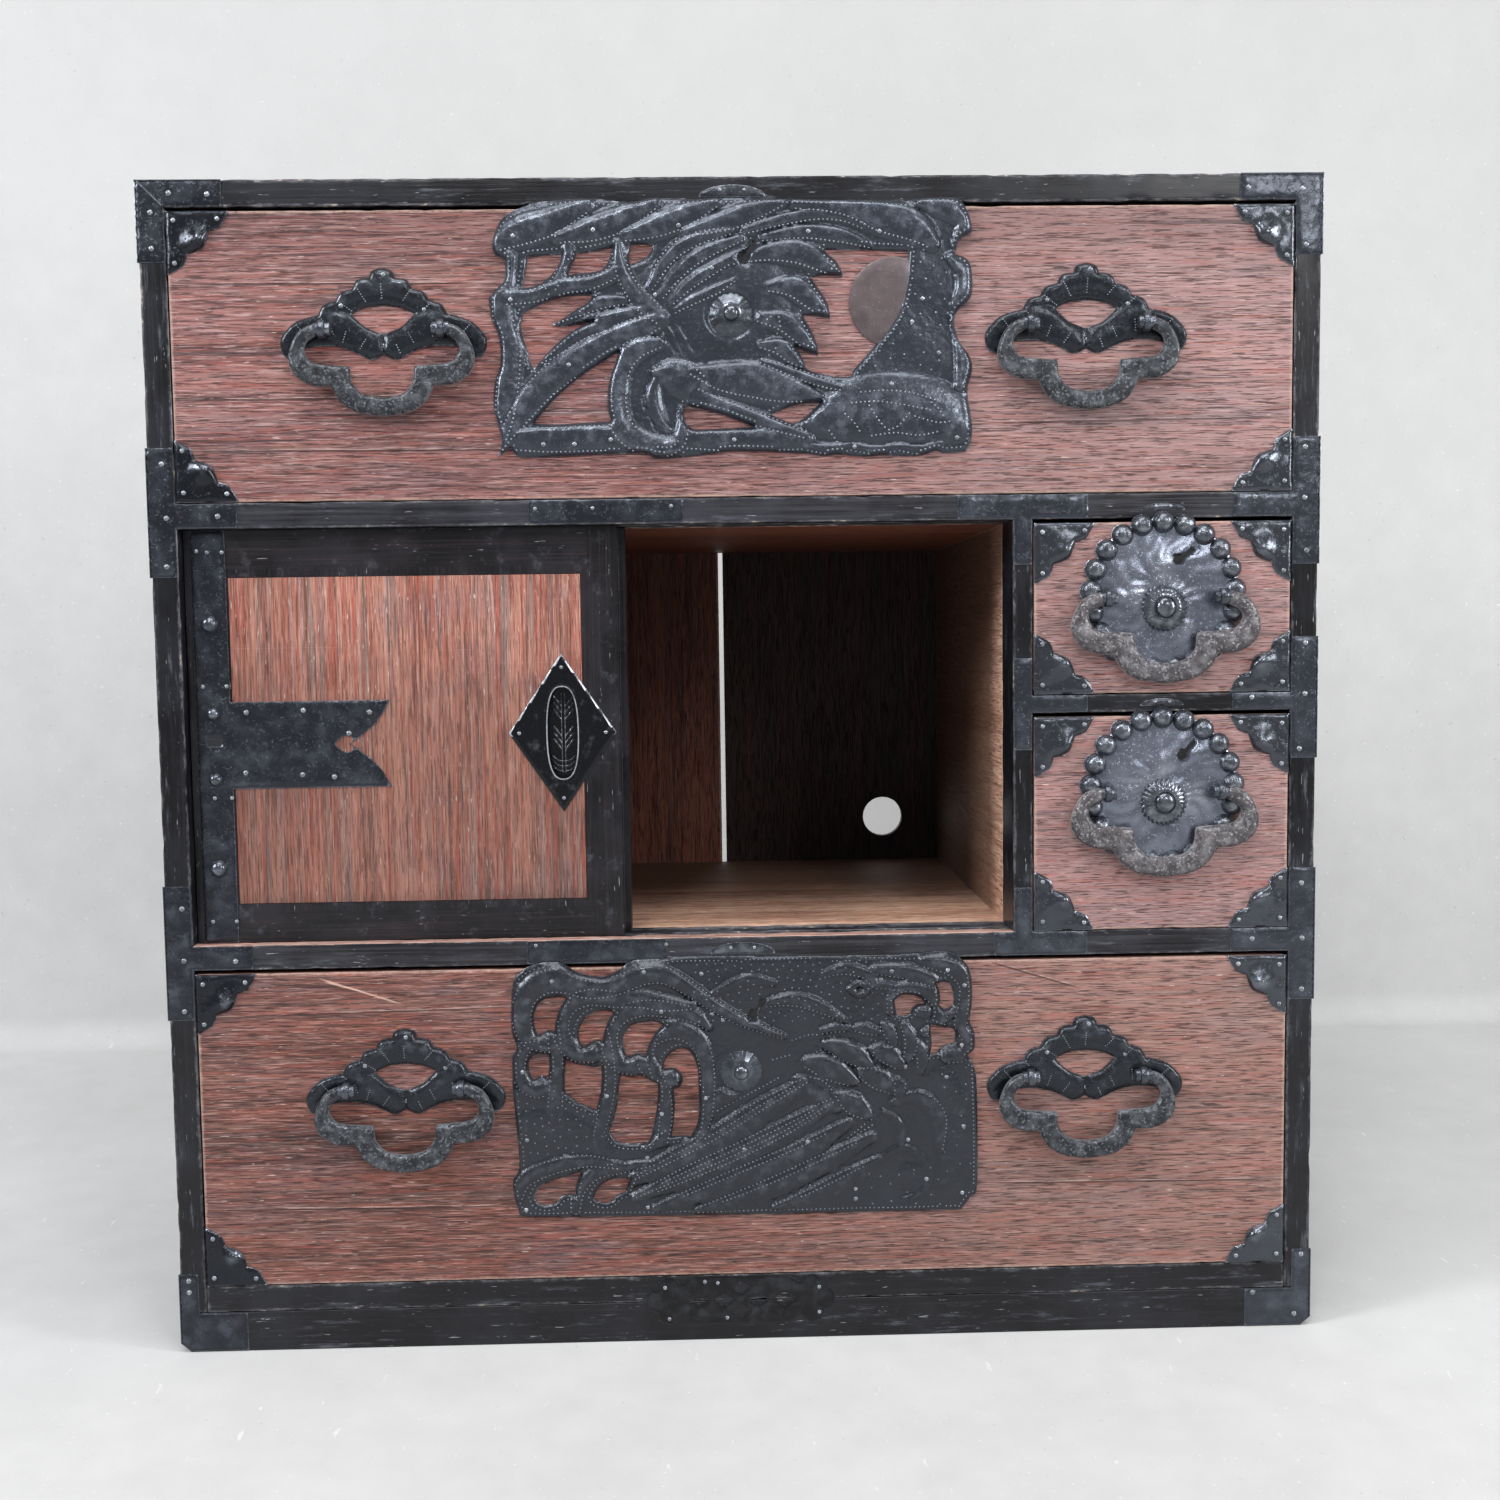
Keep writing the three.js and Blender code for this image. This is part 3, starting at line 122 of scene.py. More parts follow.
class Finish:
    """A material, built up in coats. Every node comes from node()."""

    def __init__(self, name):
        self.material = bpy.data.materials.new(name)
        self.material.use_nodes = True
        self.tree = self.material.node_tree
        self.tree.nodes.clear()
        self.place = self.node("TexCoord", out="Object")

    def node(self, kind, settings=None, sockets=None, out=0):
        made = self.tree.nodes.new("ShaderNode" + kind)
        for key, value in (settings or {}).items():
            if key == "stops":
                ramp = made.color_ramp.elements
                while len(ramp) < len(value):
                    ramp.new(0.5)
                for stop, (at, colour) in zip(ramp, value):
                    stop.position, stop.color = at, colour
            else:
                setattr(made, key, value)
        for key, value in (sockets or {}).items():
            socket = self.named(made.inputs, key)
            if isinstance(value, Value):
                self.tree.links.new(value.socket, socket)
            else:
                socket.default_value = value
        return Value(self, self.named(made.outputs, out))

    @staticmethod
    def named(sockets, key):
        return next((s for s in sockets if s.identifier == key), None) or sockets[key]

    def math(self, operation, a, b):
        return self.node("Math", {"operation": operation}, {0: a, 1: b})

    def amount(self, value):
        return self.math("ABSOLUTE", value, 0.0)

    def noise(self, along, detail=2.0, roughness=0.5, offset=(0, 0, 0), twist=0.0):
        """Cloudy noise, its lumps of the given lengths along the three axes."""
        steps = tuple(1 / (MM * a) for a in along)
        scaled = self.node("VectorMath", {"operation": "MULTIPLY"}, {0: self.place, 1: steps})
        moved = self.node("VectorMath", {"operation": "ADD"}, {0: scaled, 1: offset})
        return self.node("TexNoise", None, {"Vector": moved, "Scale": 1.0, "Detail": detail,
                                            "Roughness": roughness, "Distortion": twist})

    def between(self, value, low, high):
        """0 below low, 1 above high, and a soft step between."""
        return self.node("MapRange", {"interpolation_type": "SMOOTHSTEP"}, {
            "Value": value, "From Min": low, "From Max": high}, "Result")

    def coat(self, share, colour):
        """Lay a colour over what is there, by a share that varies."""
        self.colour = self.node("Mix", {"data_type": "RGBA"}, {
            "Factor_Float": share, "A_Color": self.colour, "B_Color": colour}, "Result_Color")

    def coats(self, *rows):
        """Coats as rows of (value, where it starts, where it is full, its share, its colour)."""
        for value, low, high, share, colour in rows:
            self.coat(self.between(value, low, high) * share, colour if len(colour) == 4 else tint(*colour))

    def mark(self, name):
        """A number stored on the mesh."""
        return self.node("Attribute", {"attribute_name": name}, None, "Fac")

    def axis(self, letter):
        """Where on the chest a point lies along one axis, in millimetres."""
        return self.node("SeparateXYZ", None, {"Vector": self.place}, letter) * (1 / MM)

    def stroke(self, start, end, width):
        """1 along a line between two (x, z) spots on the front, thinning out at its ends."""
        reach = math.dist(start, end)
        ux, uz = (end[0] - start[0]) / reach, (end[1] - start[1]) / reach
        x, z = self.axis("X") - start[0], self.axis("Z") - start[1]
        along = x * (ux / reach) + z * (uz / reach)
        taper = self.between(along, -0.05, 0.2) * self.between(along, 1.05, 0.8)
        return self.between(self.amount(z * ux - x * uz), width, width * 0.35) * taper

    def surface(self, relief, distance, strength, **values):
        names = {key.replace("_", " ").title().replace("Ior", "IOR"): v for key, v in values.items()}
        bump = self.node("Bump", None, {"Height": relief, "Distance": distance * MM, "Strength": strength})
        shader = self.node("BsdfPrincipled", None, {"Base Color": self.colour, "Normal": bump, **names})
        end = self.tree.nodes.new("ShaderNodeOutputMaterial")
        self.tree.links.new(shader.socket, end.inputs["Surface"])
        return self.material


def long_steps(axis, along, across):
    """Step lengths for grain that runs along one axis."""
    return tuple(along if i == axis else across for i in range(3))


def wood_finish(name, axis, tones, seed, patches=0.5, pallor=0.5, fade=0.0, seams=(), strokes=(),
                scratches=0.45, ruddy=0.3, smoke=(), boxed=False, thread=60, pores=0.75):
    """Open-grained stained wood: broad bands, rings, pores, pale filled grain, scuffs and wear on the edges.
    Seams are (start, end) lines of dark cracks, strokes the same for pale scratches. Painted shade rows are (axis,
    where the painted shade starts, where it is full, how much). The painted right sheen is a paler sheen painted
    towards the right. On a boxed piece the cross boards' grain runs across."""
    f = Finish(name)
    dark, middle, light, pale = (tint(*tone) for tone in tones)
    ink, shade_tone = deepened(dark, 0.34), deepened(dark, 0.3)
    if boxed:
        x, y, z = (f.node("SeparateXYZ", None, {"Vector": f.place}, letter) for letter in "XYZ")
        facing = f.node("SeparateXYZ", None, {"Vector": f.node("NewGeometry", out="True Normal")}, "Y")
        f.place = f.node("Mix", {"data_type": "VECTOR"}, {
            "Factor_Float": f.between(f.amount(facing), 0.6, 0.8), "A_Vector": f.place,
            "B_Vector": f.node("CombineXYZ", None, {"X": y, "Y": x, "Z": z}, "Vector")}, "Result_Vector")
    shift = (seed * 3.1, seed * 1.7, seed * 5.3)

    def grain(along, across, detail, roughness=0.65, offset=shift, twist=0.0):
        return f.noise(long_steps(axis, along, across), detail, roughness, offset, twist)

    bands = grain(700, 24, 3, 0.6)
    rings = grain(170, 2.8, 5, 0.72, twist=0.25)
    streaks = grain(23, 0.95, 3, twist=0.2)
    dashes = grain(16, 0.75, 2, 0.6)
    warm = grain(260, 14, 4, offset=(seed, 3, 9))
    hue = grain(420, 9, 3, 0.6, (2, seed, 7))
    threads = grain(thread, 1.9 + thread / 200, 3, offset=(seed, 5, 1))
    cloud = f.noise((110, 110, 55), 4, 0.65, shift)
    f.colour = f.node("ValToRGB", {"stops": ((0.0, dark), (0.4, middle), (0.85, light), (1.0, light))}, {
        "Fac": f.between(bands * 0.4 + rings * 0.55 + streaks * 0.3, 0.49, 0.76)})
    f.coats((cloud, 0.5, 0.7, patches, (104, 84, 90)),
            (warm, 0.52, 0.68, 0.6, light),
            (hue, 0.53, 0.66, ruddy, (150, 82, 66)),
            (hue, 0.46, 0.36, ruddy, (122, 98, 90)))
    # A paler sheen painted towards the right.
    if fade:
        f.coats((f.axis("X") + cloud * 160, -60, 420, fade, pale))
    f.coats((threads, 0.53, 0.64, ruddy * 1.3, (164, 84, 70)),
            (threads, 0.46, 0.36, ruddy * 0.6, (160, 140, 142)),
            (streaks, 0.545, 0.64, pallor, pale),
            (dashes, 0.54, 0.64, pores, ink),
            (rings, 0.43, 0.34, 0.45, ink))
    relief = rings * 0.6 - f.between(dashes, 0.55, 0.65) * 1.1 + streaks * 0.9
    if scratches:
        f.coats((f.noise((300, 300, 1.3), 1, 0.5, shift, 1.2), 0.735, 0.755, scratches, (206, 168, 150)),
                (grain(12, 1.5, 2, 0.5, (9, 4, 2)), 0.68, 0.74, 0.75, (222, 200, 190)))
    for start, end in seams:
        crack = f.stroke(start, end, 0.9)
        lip = f.stroke((start[0], start[1] + 1.3), (end[0], end[1] + 1.3), 0.8)
        f.coat(lip * f.between(streaks, 0.44, 0.52) * 0.55, tint(206, 176, 168))
        f.coat(crack * 0.6, ink)
        relief = relief - crack * 1.6
    for start, end in strokes:
        f.coat(f.stroke(start, end, 0.9) * 0.75, tint(214, 174, 156))
    # Painted shade: darker along one axis.
    for letter, start, end, much in smoke:
        f.coats((f.axis(letter) + (cloud - 0.5) * (end - start) * 0.5, start, end, much, shade_tone))
    edge = f.mark("edge") * (f.noise((5, 5, 5), 3, 0.7) + 0.35)
    f.coats((edge, 0.5, 0.95, 0.6, (190, 160, 146)))
    return f.surface(relief, 0.45, 0.9, roughness=0.34 + streaks * 0.25 + cloud * 0.12, specular_ior_level=0.4)


def lacquer_finish(name, axis, seed, brown=0.0, rails=None, lift=0.0):
    """Old black lacquer over wood: fine grain lines, places polished by rubbing that also carry a painted sheen,
    scratches, chips along the edges. Lift is a lighter sheen painted over the grain.
    Rails is the (x, x, z, z) opening that a frame's two rails bound: their grain runs across."""
    f = Finish(name)
    shift = (seed * 2.3, seed * 4.1, seed * 1.9)
    cloud = f.noise((70, 70, 70), 5, 0.65, shift)
    grain = f.noise(long_steps(axis, 110, 2.0), 4, 0.68, shift)
    nick = f.noise(long_steps(axis, 16, 1.5), 3, 0.65, (seed, 7, 3))
    if rails:
        left, right, low, high = rails
        x, z = f.axis("X"), f.axis("Z")
        outside = f.between(z, low, low - 0.3) + f.between(z, high, high + 0.3)
        across = outside * f.between(x, left, left + 0.3) * f.between(x, right, right - 0.3)
        grain = grain * (1.0 - across) + f.noise(long_steps(0, 110, 2.0), 4, 0.68, shift) * across
        nick = nick * (1.0 - across) + f.noise(long_steps(0, 16, 1.5), 3, 0.65, (seed, 2, 3)) * across
    f.colour = tint(14, 14, 18)
    f.coats((cloud, 0.4, 0.66, 1.0, (30, 31, 37)),
            (grain, 0.5, 0.74, 0.45, (46, 46, 52)))
    # Lift: a lighter sheen painted over the grain.
    if lift:
        f.coats((grain + cloud * 0.5, 0.5, 0.95, lift, (92, 92, 100)))
    if brown:
        f.coats((grain + cloud * 0.3, 0.55, 0.9, brown, (62, 42, 38)))
    # Places polished by rubbing, which also carry a painted sheen.
    rubbed_and_sheen = f.between(f.noise((16, 16, 16) if rails else long_steps(axis, 50, 6), 5, 0.75, (4, 8, 1)), 0.55, 0.74)
    f.coat(rubbed_and_sheen * (0.25 if rails else 0.5), tint(106, 109, 120))
    nicked = f.between(nick, 0.675, 0.71)
    f.coat(nicked * 0.65, tint(165, 166, 172))
    ragged = f.mark("edge") * 0.5 + f.noise(long_steps(axis, 11, 4), 4, 0.75, shift) + cloud * 0.4
    chipped = f.between(ragged, 1.31, 1.38)
    f.coats((ragged, 1.08, 1.34, 0.55, (112, 112, 118)))
    f.coat(chipped * 0.85, tint(182, 166, 148))
    if rails:
        f.coat(f.between(f.amount(x - right), 0.9, 0.3) * outside * 0.7, tint(6, 5, 6))
    return f.surface(grain * 0.9 + cloud * 1.2 - chipped * 1.6 - nicked * 0.5, 0.4, 0.7,
                     roughness=0.16 + cloud * 0.2 + grain * 0.14 + chipped * 0.35 + rubbed_and_sheen * 0.16,
                     specular_ior_level=0.32, coat_weight=0.1, coat_roughness=0.16)


def iron_finish(name, base, glint, seed, rough, pits, hammer, metal, rust=0.2, blow=9, deep=0.35, speck=0.0,
                clouds=0.6, gritty=0.2, fade=0.0, hollows=0.0):
    """Blackened forged iron: hammer marks, pits, high places polished by rubbing with a painted sheen, edges and
    crests with a painted glint, painted shade in the low places, a painted sheen towards the right, brown rust patches.
    """
    f = Finish(name)
    shift = (seed * 1.3, seed * 2.9, seed * 3.7)
    blows = f.noise((blow, blow, blow), 2, 0.5, shift)
    cloud = f.noise((34, 34, 34), 4, 0.65, shift)
    grit = f.noise((1.5, 1.5, 1.5), 3, 0.7, shift)
    pitted = f.between(f.noise((2.4, 2.4, 2.4), 3, 0.65, shift), 0.58, 0.72)
    brown = f.between(f.noise((16, 16, 16), 4, 0.7, (seed, 2, 6)), 0.58, 0.75)
    high, edge = f.mark("high"), f.mark("edge")
    f.colour, shine = tint(*base), tint(*glint)
    f.coats((cloud, 0.35, 0.7, clouds, deepened(tint(*base), 1.7)))
    # A glint painted towards the right.
    if fade:
        f.coats((f.axis("X") + cloud * 200, -100, 480, fade, shine))
    # High places polished by rubbing, painted with the glint colour as a sheen.
    rubbed_and_sheen = f.between(high * 0.3 + blows * 0.6 + grit * gritty + cloud * 0.25 * clouds, 0.64, 0.98)
    f.coat(rubbed_and_sheen * 0.5, shine)
    # Painted shade in the low places.
    if hollows:
        f.coats((high, 0.5, 0.12, hollows, deepened(tint(*base), 0.35)))
    # Edges and crests: wear, and a glint painted with the glint colour.
    f.coats((edge * 0.7 + grit * 0.4 + cloud * 0.3, 0.84, 1.15, 0.85, shine))
    f.coat(pitted * pits * 0.5, deepened(tint(*base), 0.5))
    if speck:
        f.coats((f.noise((2.0, 2.0, 2.0), 2, 0.6, (seed, 8, 5)), 0.55, 0.68, speck, shine))
    f.coat(brown * rust, tint(84, 66, 62))
    return f.surface(blows * hammer * 2.4 + grit * pits * 0.5 - pitted * pits, deep, 0.8,
                     roughness=rough - 0.08 + grit * 0.16 + pitted * 0.16 + brown * 0.12 - rubbed_and_sheen * 0.08,
                     metallic=metal, specular_ior_level=0.6)


def stone_finish():
    """The pale floor and wall: cement smoothed by rubbing, with faint clouds, short pale scratches and painted shade
    that darkens the wall higher up; clear from behind.
    """
    f = Finish("cement")
    cloud = f.noise((420, 420, 420), 5, 0.6)
    mottle = f.noise((46, 46, 46), 4, 0.65)
    f.colour = tint(188, 188, 188)
    f.coats((cloud * 0.6 + mottle * 0.4, 0.35, 0.68, 1.0, (197, 197, 197)),
            (f.noise((9, 34, 9), 3, 0.6), 0.67, 0.74, 0.5, (226, 226, 226)),
            (f.noise((5, 5, 5), 3, 0.7, (3, 1, 2)), 0.66, 0.72, 0.5, (236, 236, 236)),
            (f.noise((7, 7, 7), 3, 0.7, (8, 6, 2)), 0.68, 0.73, 0.4, (120, 120, 120)),
            # painted shade: darker higher up the wall
            (f.axis("Z"), 300, 1500, 0.5, (168, 168, 168)))
    f.material.use_transparent_shadow = False
    return f.surface(mottle, 0.4, 0.3, roughness=0.62 + mottle * 0.2, specular_ior_level=0.3,
                     alpha=1.0 - f.node("NewGeometry", out="Backfacing"))


FRONT_TONES = ((78, 49, 49), (119, 78, 76), (148, 101, 96), (192, 165, 163))
LOW_FRONT_TONES = ((72, 45, 40), (108, 69, 61), (136, 88, 78), (186, 151, 142))
DOOR_TONES = ((108, 68, 58), (160, 108, 93), (184, 128, 110), (206, 174, 162))
FLOOR_TONES = ((164, 122, 100), (208, 164, 136), (230, 190, 164), (242, 216, 196))
# The ceiling of the opening: the inner wood painted darker, as painted shade.
SHADED_CEILING_TONES = ((62, 33, 24), (102, 56, 36), (138, 80, 50), (158, 106, 74))
BACK_TONES = ((68, 36, 29), (106, 59, 45), (134, 80, 62), (146, 100, 82))
DARK_BACK_TONES = ((20, 6, 8), (34, 12, 12), (46, 20, 18), (54, 30, 26))
SILL_TONES = ((120, 84, 74), (164, 128, 116), (196, 160, 148), (222, 200, 190))
PLAIN = {"patches": 0.2, "pallor": 0.3, "scratches": 0}

# The smoke rows darken where shade falls: the drawer fronts near their top and bottom edges, the door panel low down,
# to its left and along its bottom edge, and the inside of the opening towards the back and the top.
WOODS = {
    # The fade key paints the drawer fronts paler towards the right.
    "front_upper": (0, FRONT_TONES, 1, {
        "fade": 0.36, "smoke": (("Z", 800, 862, 0.36), ("Z", 730, 672, 0.14)),
        "seams": (((-419, 812), (-180, 811)), ((-419, 727), (-185, 729)), ((180, 705), (419, 707)),
                  ((-419, 690), (-60, 688)))}),
    "front_lower": (0, LOW_FRONT_TONES, 2, {
        "patches": 0.6, "fade": 0.36, "smoke": (("Z", 330, 20, 0.12),),
        "seams": (((-419, 262), (-185, 266)), ((-419, 112), (-185, 110)), ((182, 120), (419, 118)),
                  ((187, 295), (260, 272))),
        "strokes": (((-327, 292), (-262, 270)), ((-322, 289), (-290, 280)), ((222, 232), (262, 222)))}),
    "front_small": (0, FRONT_TONES, 3, {"patches": 0.3, "fade": 0.35}),
    "door": (2, DOOR_TONES, 4, {
        "scratches": 0.2, "ruddy": 0.75, "thread": 240, "pores": 0.5, "pallor": 0.35,
        "smoke": (("Z", 580, 460, 0.42), ("X", -290, -400, 0.25), ("Z", 362, 343, 0.4))}),
    "inner": (1, FLOOR_TONES, 5, {"patches": 0.25, "scratches": 0.15, "boxed": True}),
    "inner_across": (0, FLOOR_TONES, 6, {"patches": 0.25, "scratches": 0, "smoke": (("Y", -90, 90, 0.85),)}),
    # The ceiling wood is a darker copy of the inner wood: painted shade under the shelf.
    "ceiling_wood": (0, SHADED_CEILING_TONES, 10, PLAIN),
    "wall": (1, FLOOR_TONES, 7, {**PLAIN, "smoke": (("Y", -150, -90, 0.85), ("Z", 480, 640, 0.5))}),
    "back": (2, BACK_TONES, 8, {**PLAIN, "smoke": (("Z", 420, 620, 0.5),)}),
    "dark_back": (2, DARK_BACK_TONES, 11, {"patches": 0, "pallor": 0.05, "scratches": 0, "ruddy": 0.05}),
    "sill": (0, SILL_TONES, 12, {"patches": 0.1}),
}
# lacquer_rail's last number, lift, is a lighter sheen painted over the rails' grain.
LACQUERS = {
    "lacquer_x": (0, 1), "lacquer_z": (2, 3), "lacquer_rail": (0, 2, 0.0, None, 0.26),
    "lacquer_door": (2, 4, 0.3, (-393, -115, 342, 603)),
}
IRONS = {   # base, glint, seed, roughness, pits, hammer marks, metal, rust, size of a blow, depth
    # The fade key paints the glint colour towards the right on the straps and fittings.
    "iron": ((42, 45, 52), (112, 118, 130), 1, 0.24, 0.4, 1.1, 0.65, 0.2, 16, 0.8,
             {"fade": 0.14, "clouds": 0.16}),
    "black_iron": ((16, 16, 19), (72, 75, 82), 20, 0.34, 0.4, 0.6, 0.5, {"clouds": 0.3}),
    "strike_iron": ((44, 46, 53), (150, 156, 166), 15, 0.26, 0.5, 0.5, 0.6, {}),
    # The hollows key darkens the plates' low places as painted shade.
    "plate_iron": ((57, 62, 71), (150, 158, 172), 2, 0.25, 0.3, 0.6, 0.55, 0.1, 7, 0.5,
                   {"hollows": 0.2, "clouds": 0.3}),
    "low_plate_iron": ((46, 49, 55), (112, 117, 126), 10, 0.25, 0.3, 0.6, 0.5, 0.1, 7, 0.5,
                       {"hollows": 0.05, "clouds": 0.25}),
    "cloud_iron": ((38, 42, 48), (132, 139, 150), 17, 0.26, 0.4, 0.6, 0.6, 0.15, 8, 0.5,
                   {"hollows": 0.3, "clouds": 0.3}),
    "fitting_iron": ((38, 41, 47), (160, 167, 178), 16, 0.2, 0.25, 1.0, 0.75, 0.2, 18, 0.9,
                     {"fade": 0.14, "clouds": 0.4}),
    # The punched dots are brighter copies of the plate irons: a painted glint on the dots.
    "punched": ((116, 122, 132), (196, 202, 210), 9, 0.28, 0.2, 0.1, 0.4, 0.0, {}),
    "low_punched": ((94, 98, 106), (160, 165, 174), 19, 0.3, 0.2, 0.1, 0.4, 0.0, {}),
    "bright_iron": ((112, 117, 130), (212, 217, 227), 3, 0.25, 0.3, 1.2, 0.8, 0.1, 30, 0.8, {"clouds": 0.5}),
    "bead_iron": ((74, 78, 86), (186, 191, 200), 18, 0.26, 0.4, 0.6, 0.75, 0.1, 5, 0.8, {}),
    "boss_iron": ((66, 70, 77), (164, 171, 182), 12, 0.22, 0.2, 0.2, 0.75, 0.05, 6, 0.4, {}),
    "bail_iron": ((38, 41, 46), (148, 153, 160), 4, 0.34, 1.2, 0.5, 0.5, 0.15, 9, 0.6,
                  {"speck": 0.5, "clouds": 0.3}),
    "brown_bail": ((72, 69, 73), (180, 177, 180), 5, 0.36, 1.5, 0.6, 0.55, 0.4, 9, 0.9,
                   {"speck": 0.6, "clouds": 0.4}),
    "nail": ((112, 116, 123), (220, 225, 230), 6, 0.24, 0.3, 0.1, 0.65, 0.1, {}),
    "copper": ((128, 100, 84), (196, 164, 138), 7, 0.3, 0.4, 0.2, 0.8, 0.1, {}),
    "moon": ((90, 80, 82), (128, 117, 119), 8, 0.34, 0.2, 0.1, 0.5, 0.1, {}),
    # hollow: near-black discs behind keyholes, painted shade.
    "hollow": ((7, 7, 9), (14, 14, 16), 13, 0.6, 0.2, 0.1, 0.0, 0.0, {}),
    "pull_iron": ((15, 16, 21), (206, 212, 220), 14, 0.22, 0.1, 0.1, 0.45, 0.0, {"clouds": 0.1, "gritty": 0.05}),
}
finishes = {name: wood_finish(name, *row[:-1], **row[-1]) for name, row in WOODS.items()}
finishes |= {name: lacquer_finish(name, *row) for name, row in LACQUERS.items()}
finishes |= {name: iron_finish(name, *row[:-1], **row[-1]) for name, row in IRONS.items()}
finishes["cement"] = stone_finish()


# Meshes

def store(mesh, key, values):
    """A number on each point of a mesh."""
    mesh.attributes.new(key, "FLOAT", "POINT").data.foreach_set("value", np.asarray(values, np.float32))


def on(body, slot, *replaces):
    """The body that a piece rides, its slot, which is not used, and the CAD nodes that it replaces."""
    return {"body": body, "slot": slot, "replaces": replaces}


def wrought(body, *replaces):
    return on(body, "wrought_iron", *replaces)


def lacquered(*replaces):
    return on("carcass", "black_lacquer", *replaces)


def mounted(made, body, slot, replaces=()):
    scene.collection.objects.link(made)
    if body:
        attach(made, body)
    if replaces:
        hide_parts(*replaces)
    return made


def piece(name, points, faces, finish, body=None, slot=None, replaces=(), marks=None, crease=40):
    """A mesh object from points in millimetres, riding on a body of the chest."""
    mesh = bpy.data.meshes.new(name)
    mesh.from_pydata((np.asarray(points, float) * MM).tolist(), [], faces)
    mesh.validate()
    for key, values in (marks or {}).items():
        store(mesh, key, values)
    mesh.polygons.foreach_set("use_smooth", [True] * len(mesh.polygons))
    mesh.set_sharp_from_angle(angle=math.radians(crease))
    mesh.materials.append(finishes[finish])
    return mounted(bpy.data.objects.new(name, mesh), body, slot, replaces)


def skin(rows, sides):
    """Faces over rows of points that each go round once, closed at both ends."""
    faces = [(j * sides + i, j * sides + (i + 1) % sides, (j + 1) * sides + (i + 1) % sides, (j + 1) * sides + i)
             for j in range(rows - 1) for i in range(sides)]
    return faces + [tuple(range(sides))[::-1], tuple(range((rows - 1) * sides, rows * sides))]


def pairs(flat):
    """The (x, z) spots of a flat list."""
    return np.reshape(flat, (-1, 2)).astype(float)


def oblong(left, right, low, high):
    """The corners of a rectangle."""
    return [(left, low), (right, low), (right, high), (left, high)]


def curve_through(points, step, closed=False):
    """Points about a step apart on a smooth curve through the given ones, in any number of axes."""
    p = np.asarray(points, float)
    count = len(p)
    out = []
    for i in range(count if closed else count - 1):
        if closed:
            a, b, c, d = (p[(i + k) % count] for k in (-1, 0, 1, 2))
        else:
            a, b, c, d = p[max(i - 1, 0)], p[i], p[i + 1], p[min(i + 2, count - 1)]
        parts = max(1, int(round(math.hypot(*(c - b)[:2]) / step)))
        for t in np.arange(parts) / parts:
            out.append(0.5 * (2 * b + (c - a) * t + (2 * a - 5 * b + 4 * c - d) * t * t
                              + (3 * b - a - 3 * c + d) * t ** 3))
    if not closed:
        out.append(p[-1])
    return np.array(out)


def outline_curve(loop, step, corner=48):
    """A closed outline made smooth between its sharp corners."""
    p = np.asarray(loop, float)
    ahead, behind = np.roll(p, -1, 0) - p, p - np.roll(p, 1, 0)
    turn = np.degrees(np.arctan2(ahead[:, 1], ahead[:, 0]) - np.arctan2(behind[:, 1], behind[:, 0]))
    sharp = [i for i, t in enumerate(np.abs((turn + 180) % 360 - 180)) if t > corner]
    if not sharp:
        return curve_through(p, step, closed=True)
    out = []
    for a, b in zip(sharp, sharp[1:] + [sharp[0] + len(p)]):
        out.extend(curve_through([p[i % len(p)] for i in range(a, b + 1)], step)[:-1])
    return np.array(out)


def node_loops(node, depth, axis=1, tolerance=0.02):
    """The closed edges of a CAD node's flat face at a depth along an axis, in the two other axes."""
    others = [i for i in range(3) if i != axis]
    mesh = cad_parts[node].data
    co = np.array([v.co for v in mesh.vertices]) / MM
    keys = {}
    ids = [keys.setdefault(tuple(np.round(c, 3)), len(keys)) for c in co]
    spots = {i: co[n] for n, i in enumerate(ids)}
    used = set()
    for poly in mesh.polygons:
        if all(abs(co[v][axis] - depth) < tolerance for v in poly.vertices):
            ring = [ids[v] for v in poly.vertices]
            used.update(zip(ring, ring[1:] + ring[:1]))
    follow = {a: b for a, b in used if (b, a) not in used}
    loops = []
    while follow:
        start, at = follow.popitem()
        loop = [start]
        while at != start:
            loop.append(at)
            at = follow.pop(at)
        loops.append(np.array([spots[i][others] for i in loop]))
    return sorted(loops, key=size, reverse=True)


def area(loop):
    x, z = np.asarray(loop).T
    return 0.5 * float(np.sum(x * np.roll(z, -1) - z * np.roll(x, -1)))


def size(loop):
    return abs(area(loop))


def stretches(lines):
    """The segments of open lines, as rows of (x, z, x, z)."""
    return np.concatenate([np.concatenate([c[:-1], c[1:]], 1) for c in lines])


def segments_of(loops):
    return np.concatenate([np.concatenate([l, np.roll(l, -1, 0)], 1) for l in loops])


def inside(points, loops):
    """Whether each point lies inside the outline and outside its holes."""
    odd = np.zeros(len(points), bool)
    for x0, z0, x1, z1 in segments_of(loops):
        if z0 != z1:
            crosses = (points[:, 1] < z0) != (points[:, 1] < z1)
            odd ^= crosses & (points[:, 0] < (x1 - x0) * (points[:, 1] - z0) / (z1 - z0) + x0)
    return odd


def edge_distance(points, seg):
    """Distance from each point to the nearest of these segments."""
    out = np.empty(len(points))
    a, d = seg[:, :2], seg[:, 2:] - seg[:, :2]
    length = np.maximum((d ** 2).sum(1), 1e-9)
    for i in range(0, len(points), 1500):
        p = points[i:i + 1500, None] - a
        t = np.clip((p * d).sum(2) / length, 0, 1)
        out[i:i + 1500] = np.sqrt(((p - t[..., None] * d) ** 2).sum(2)).min(1)
    return out


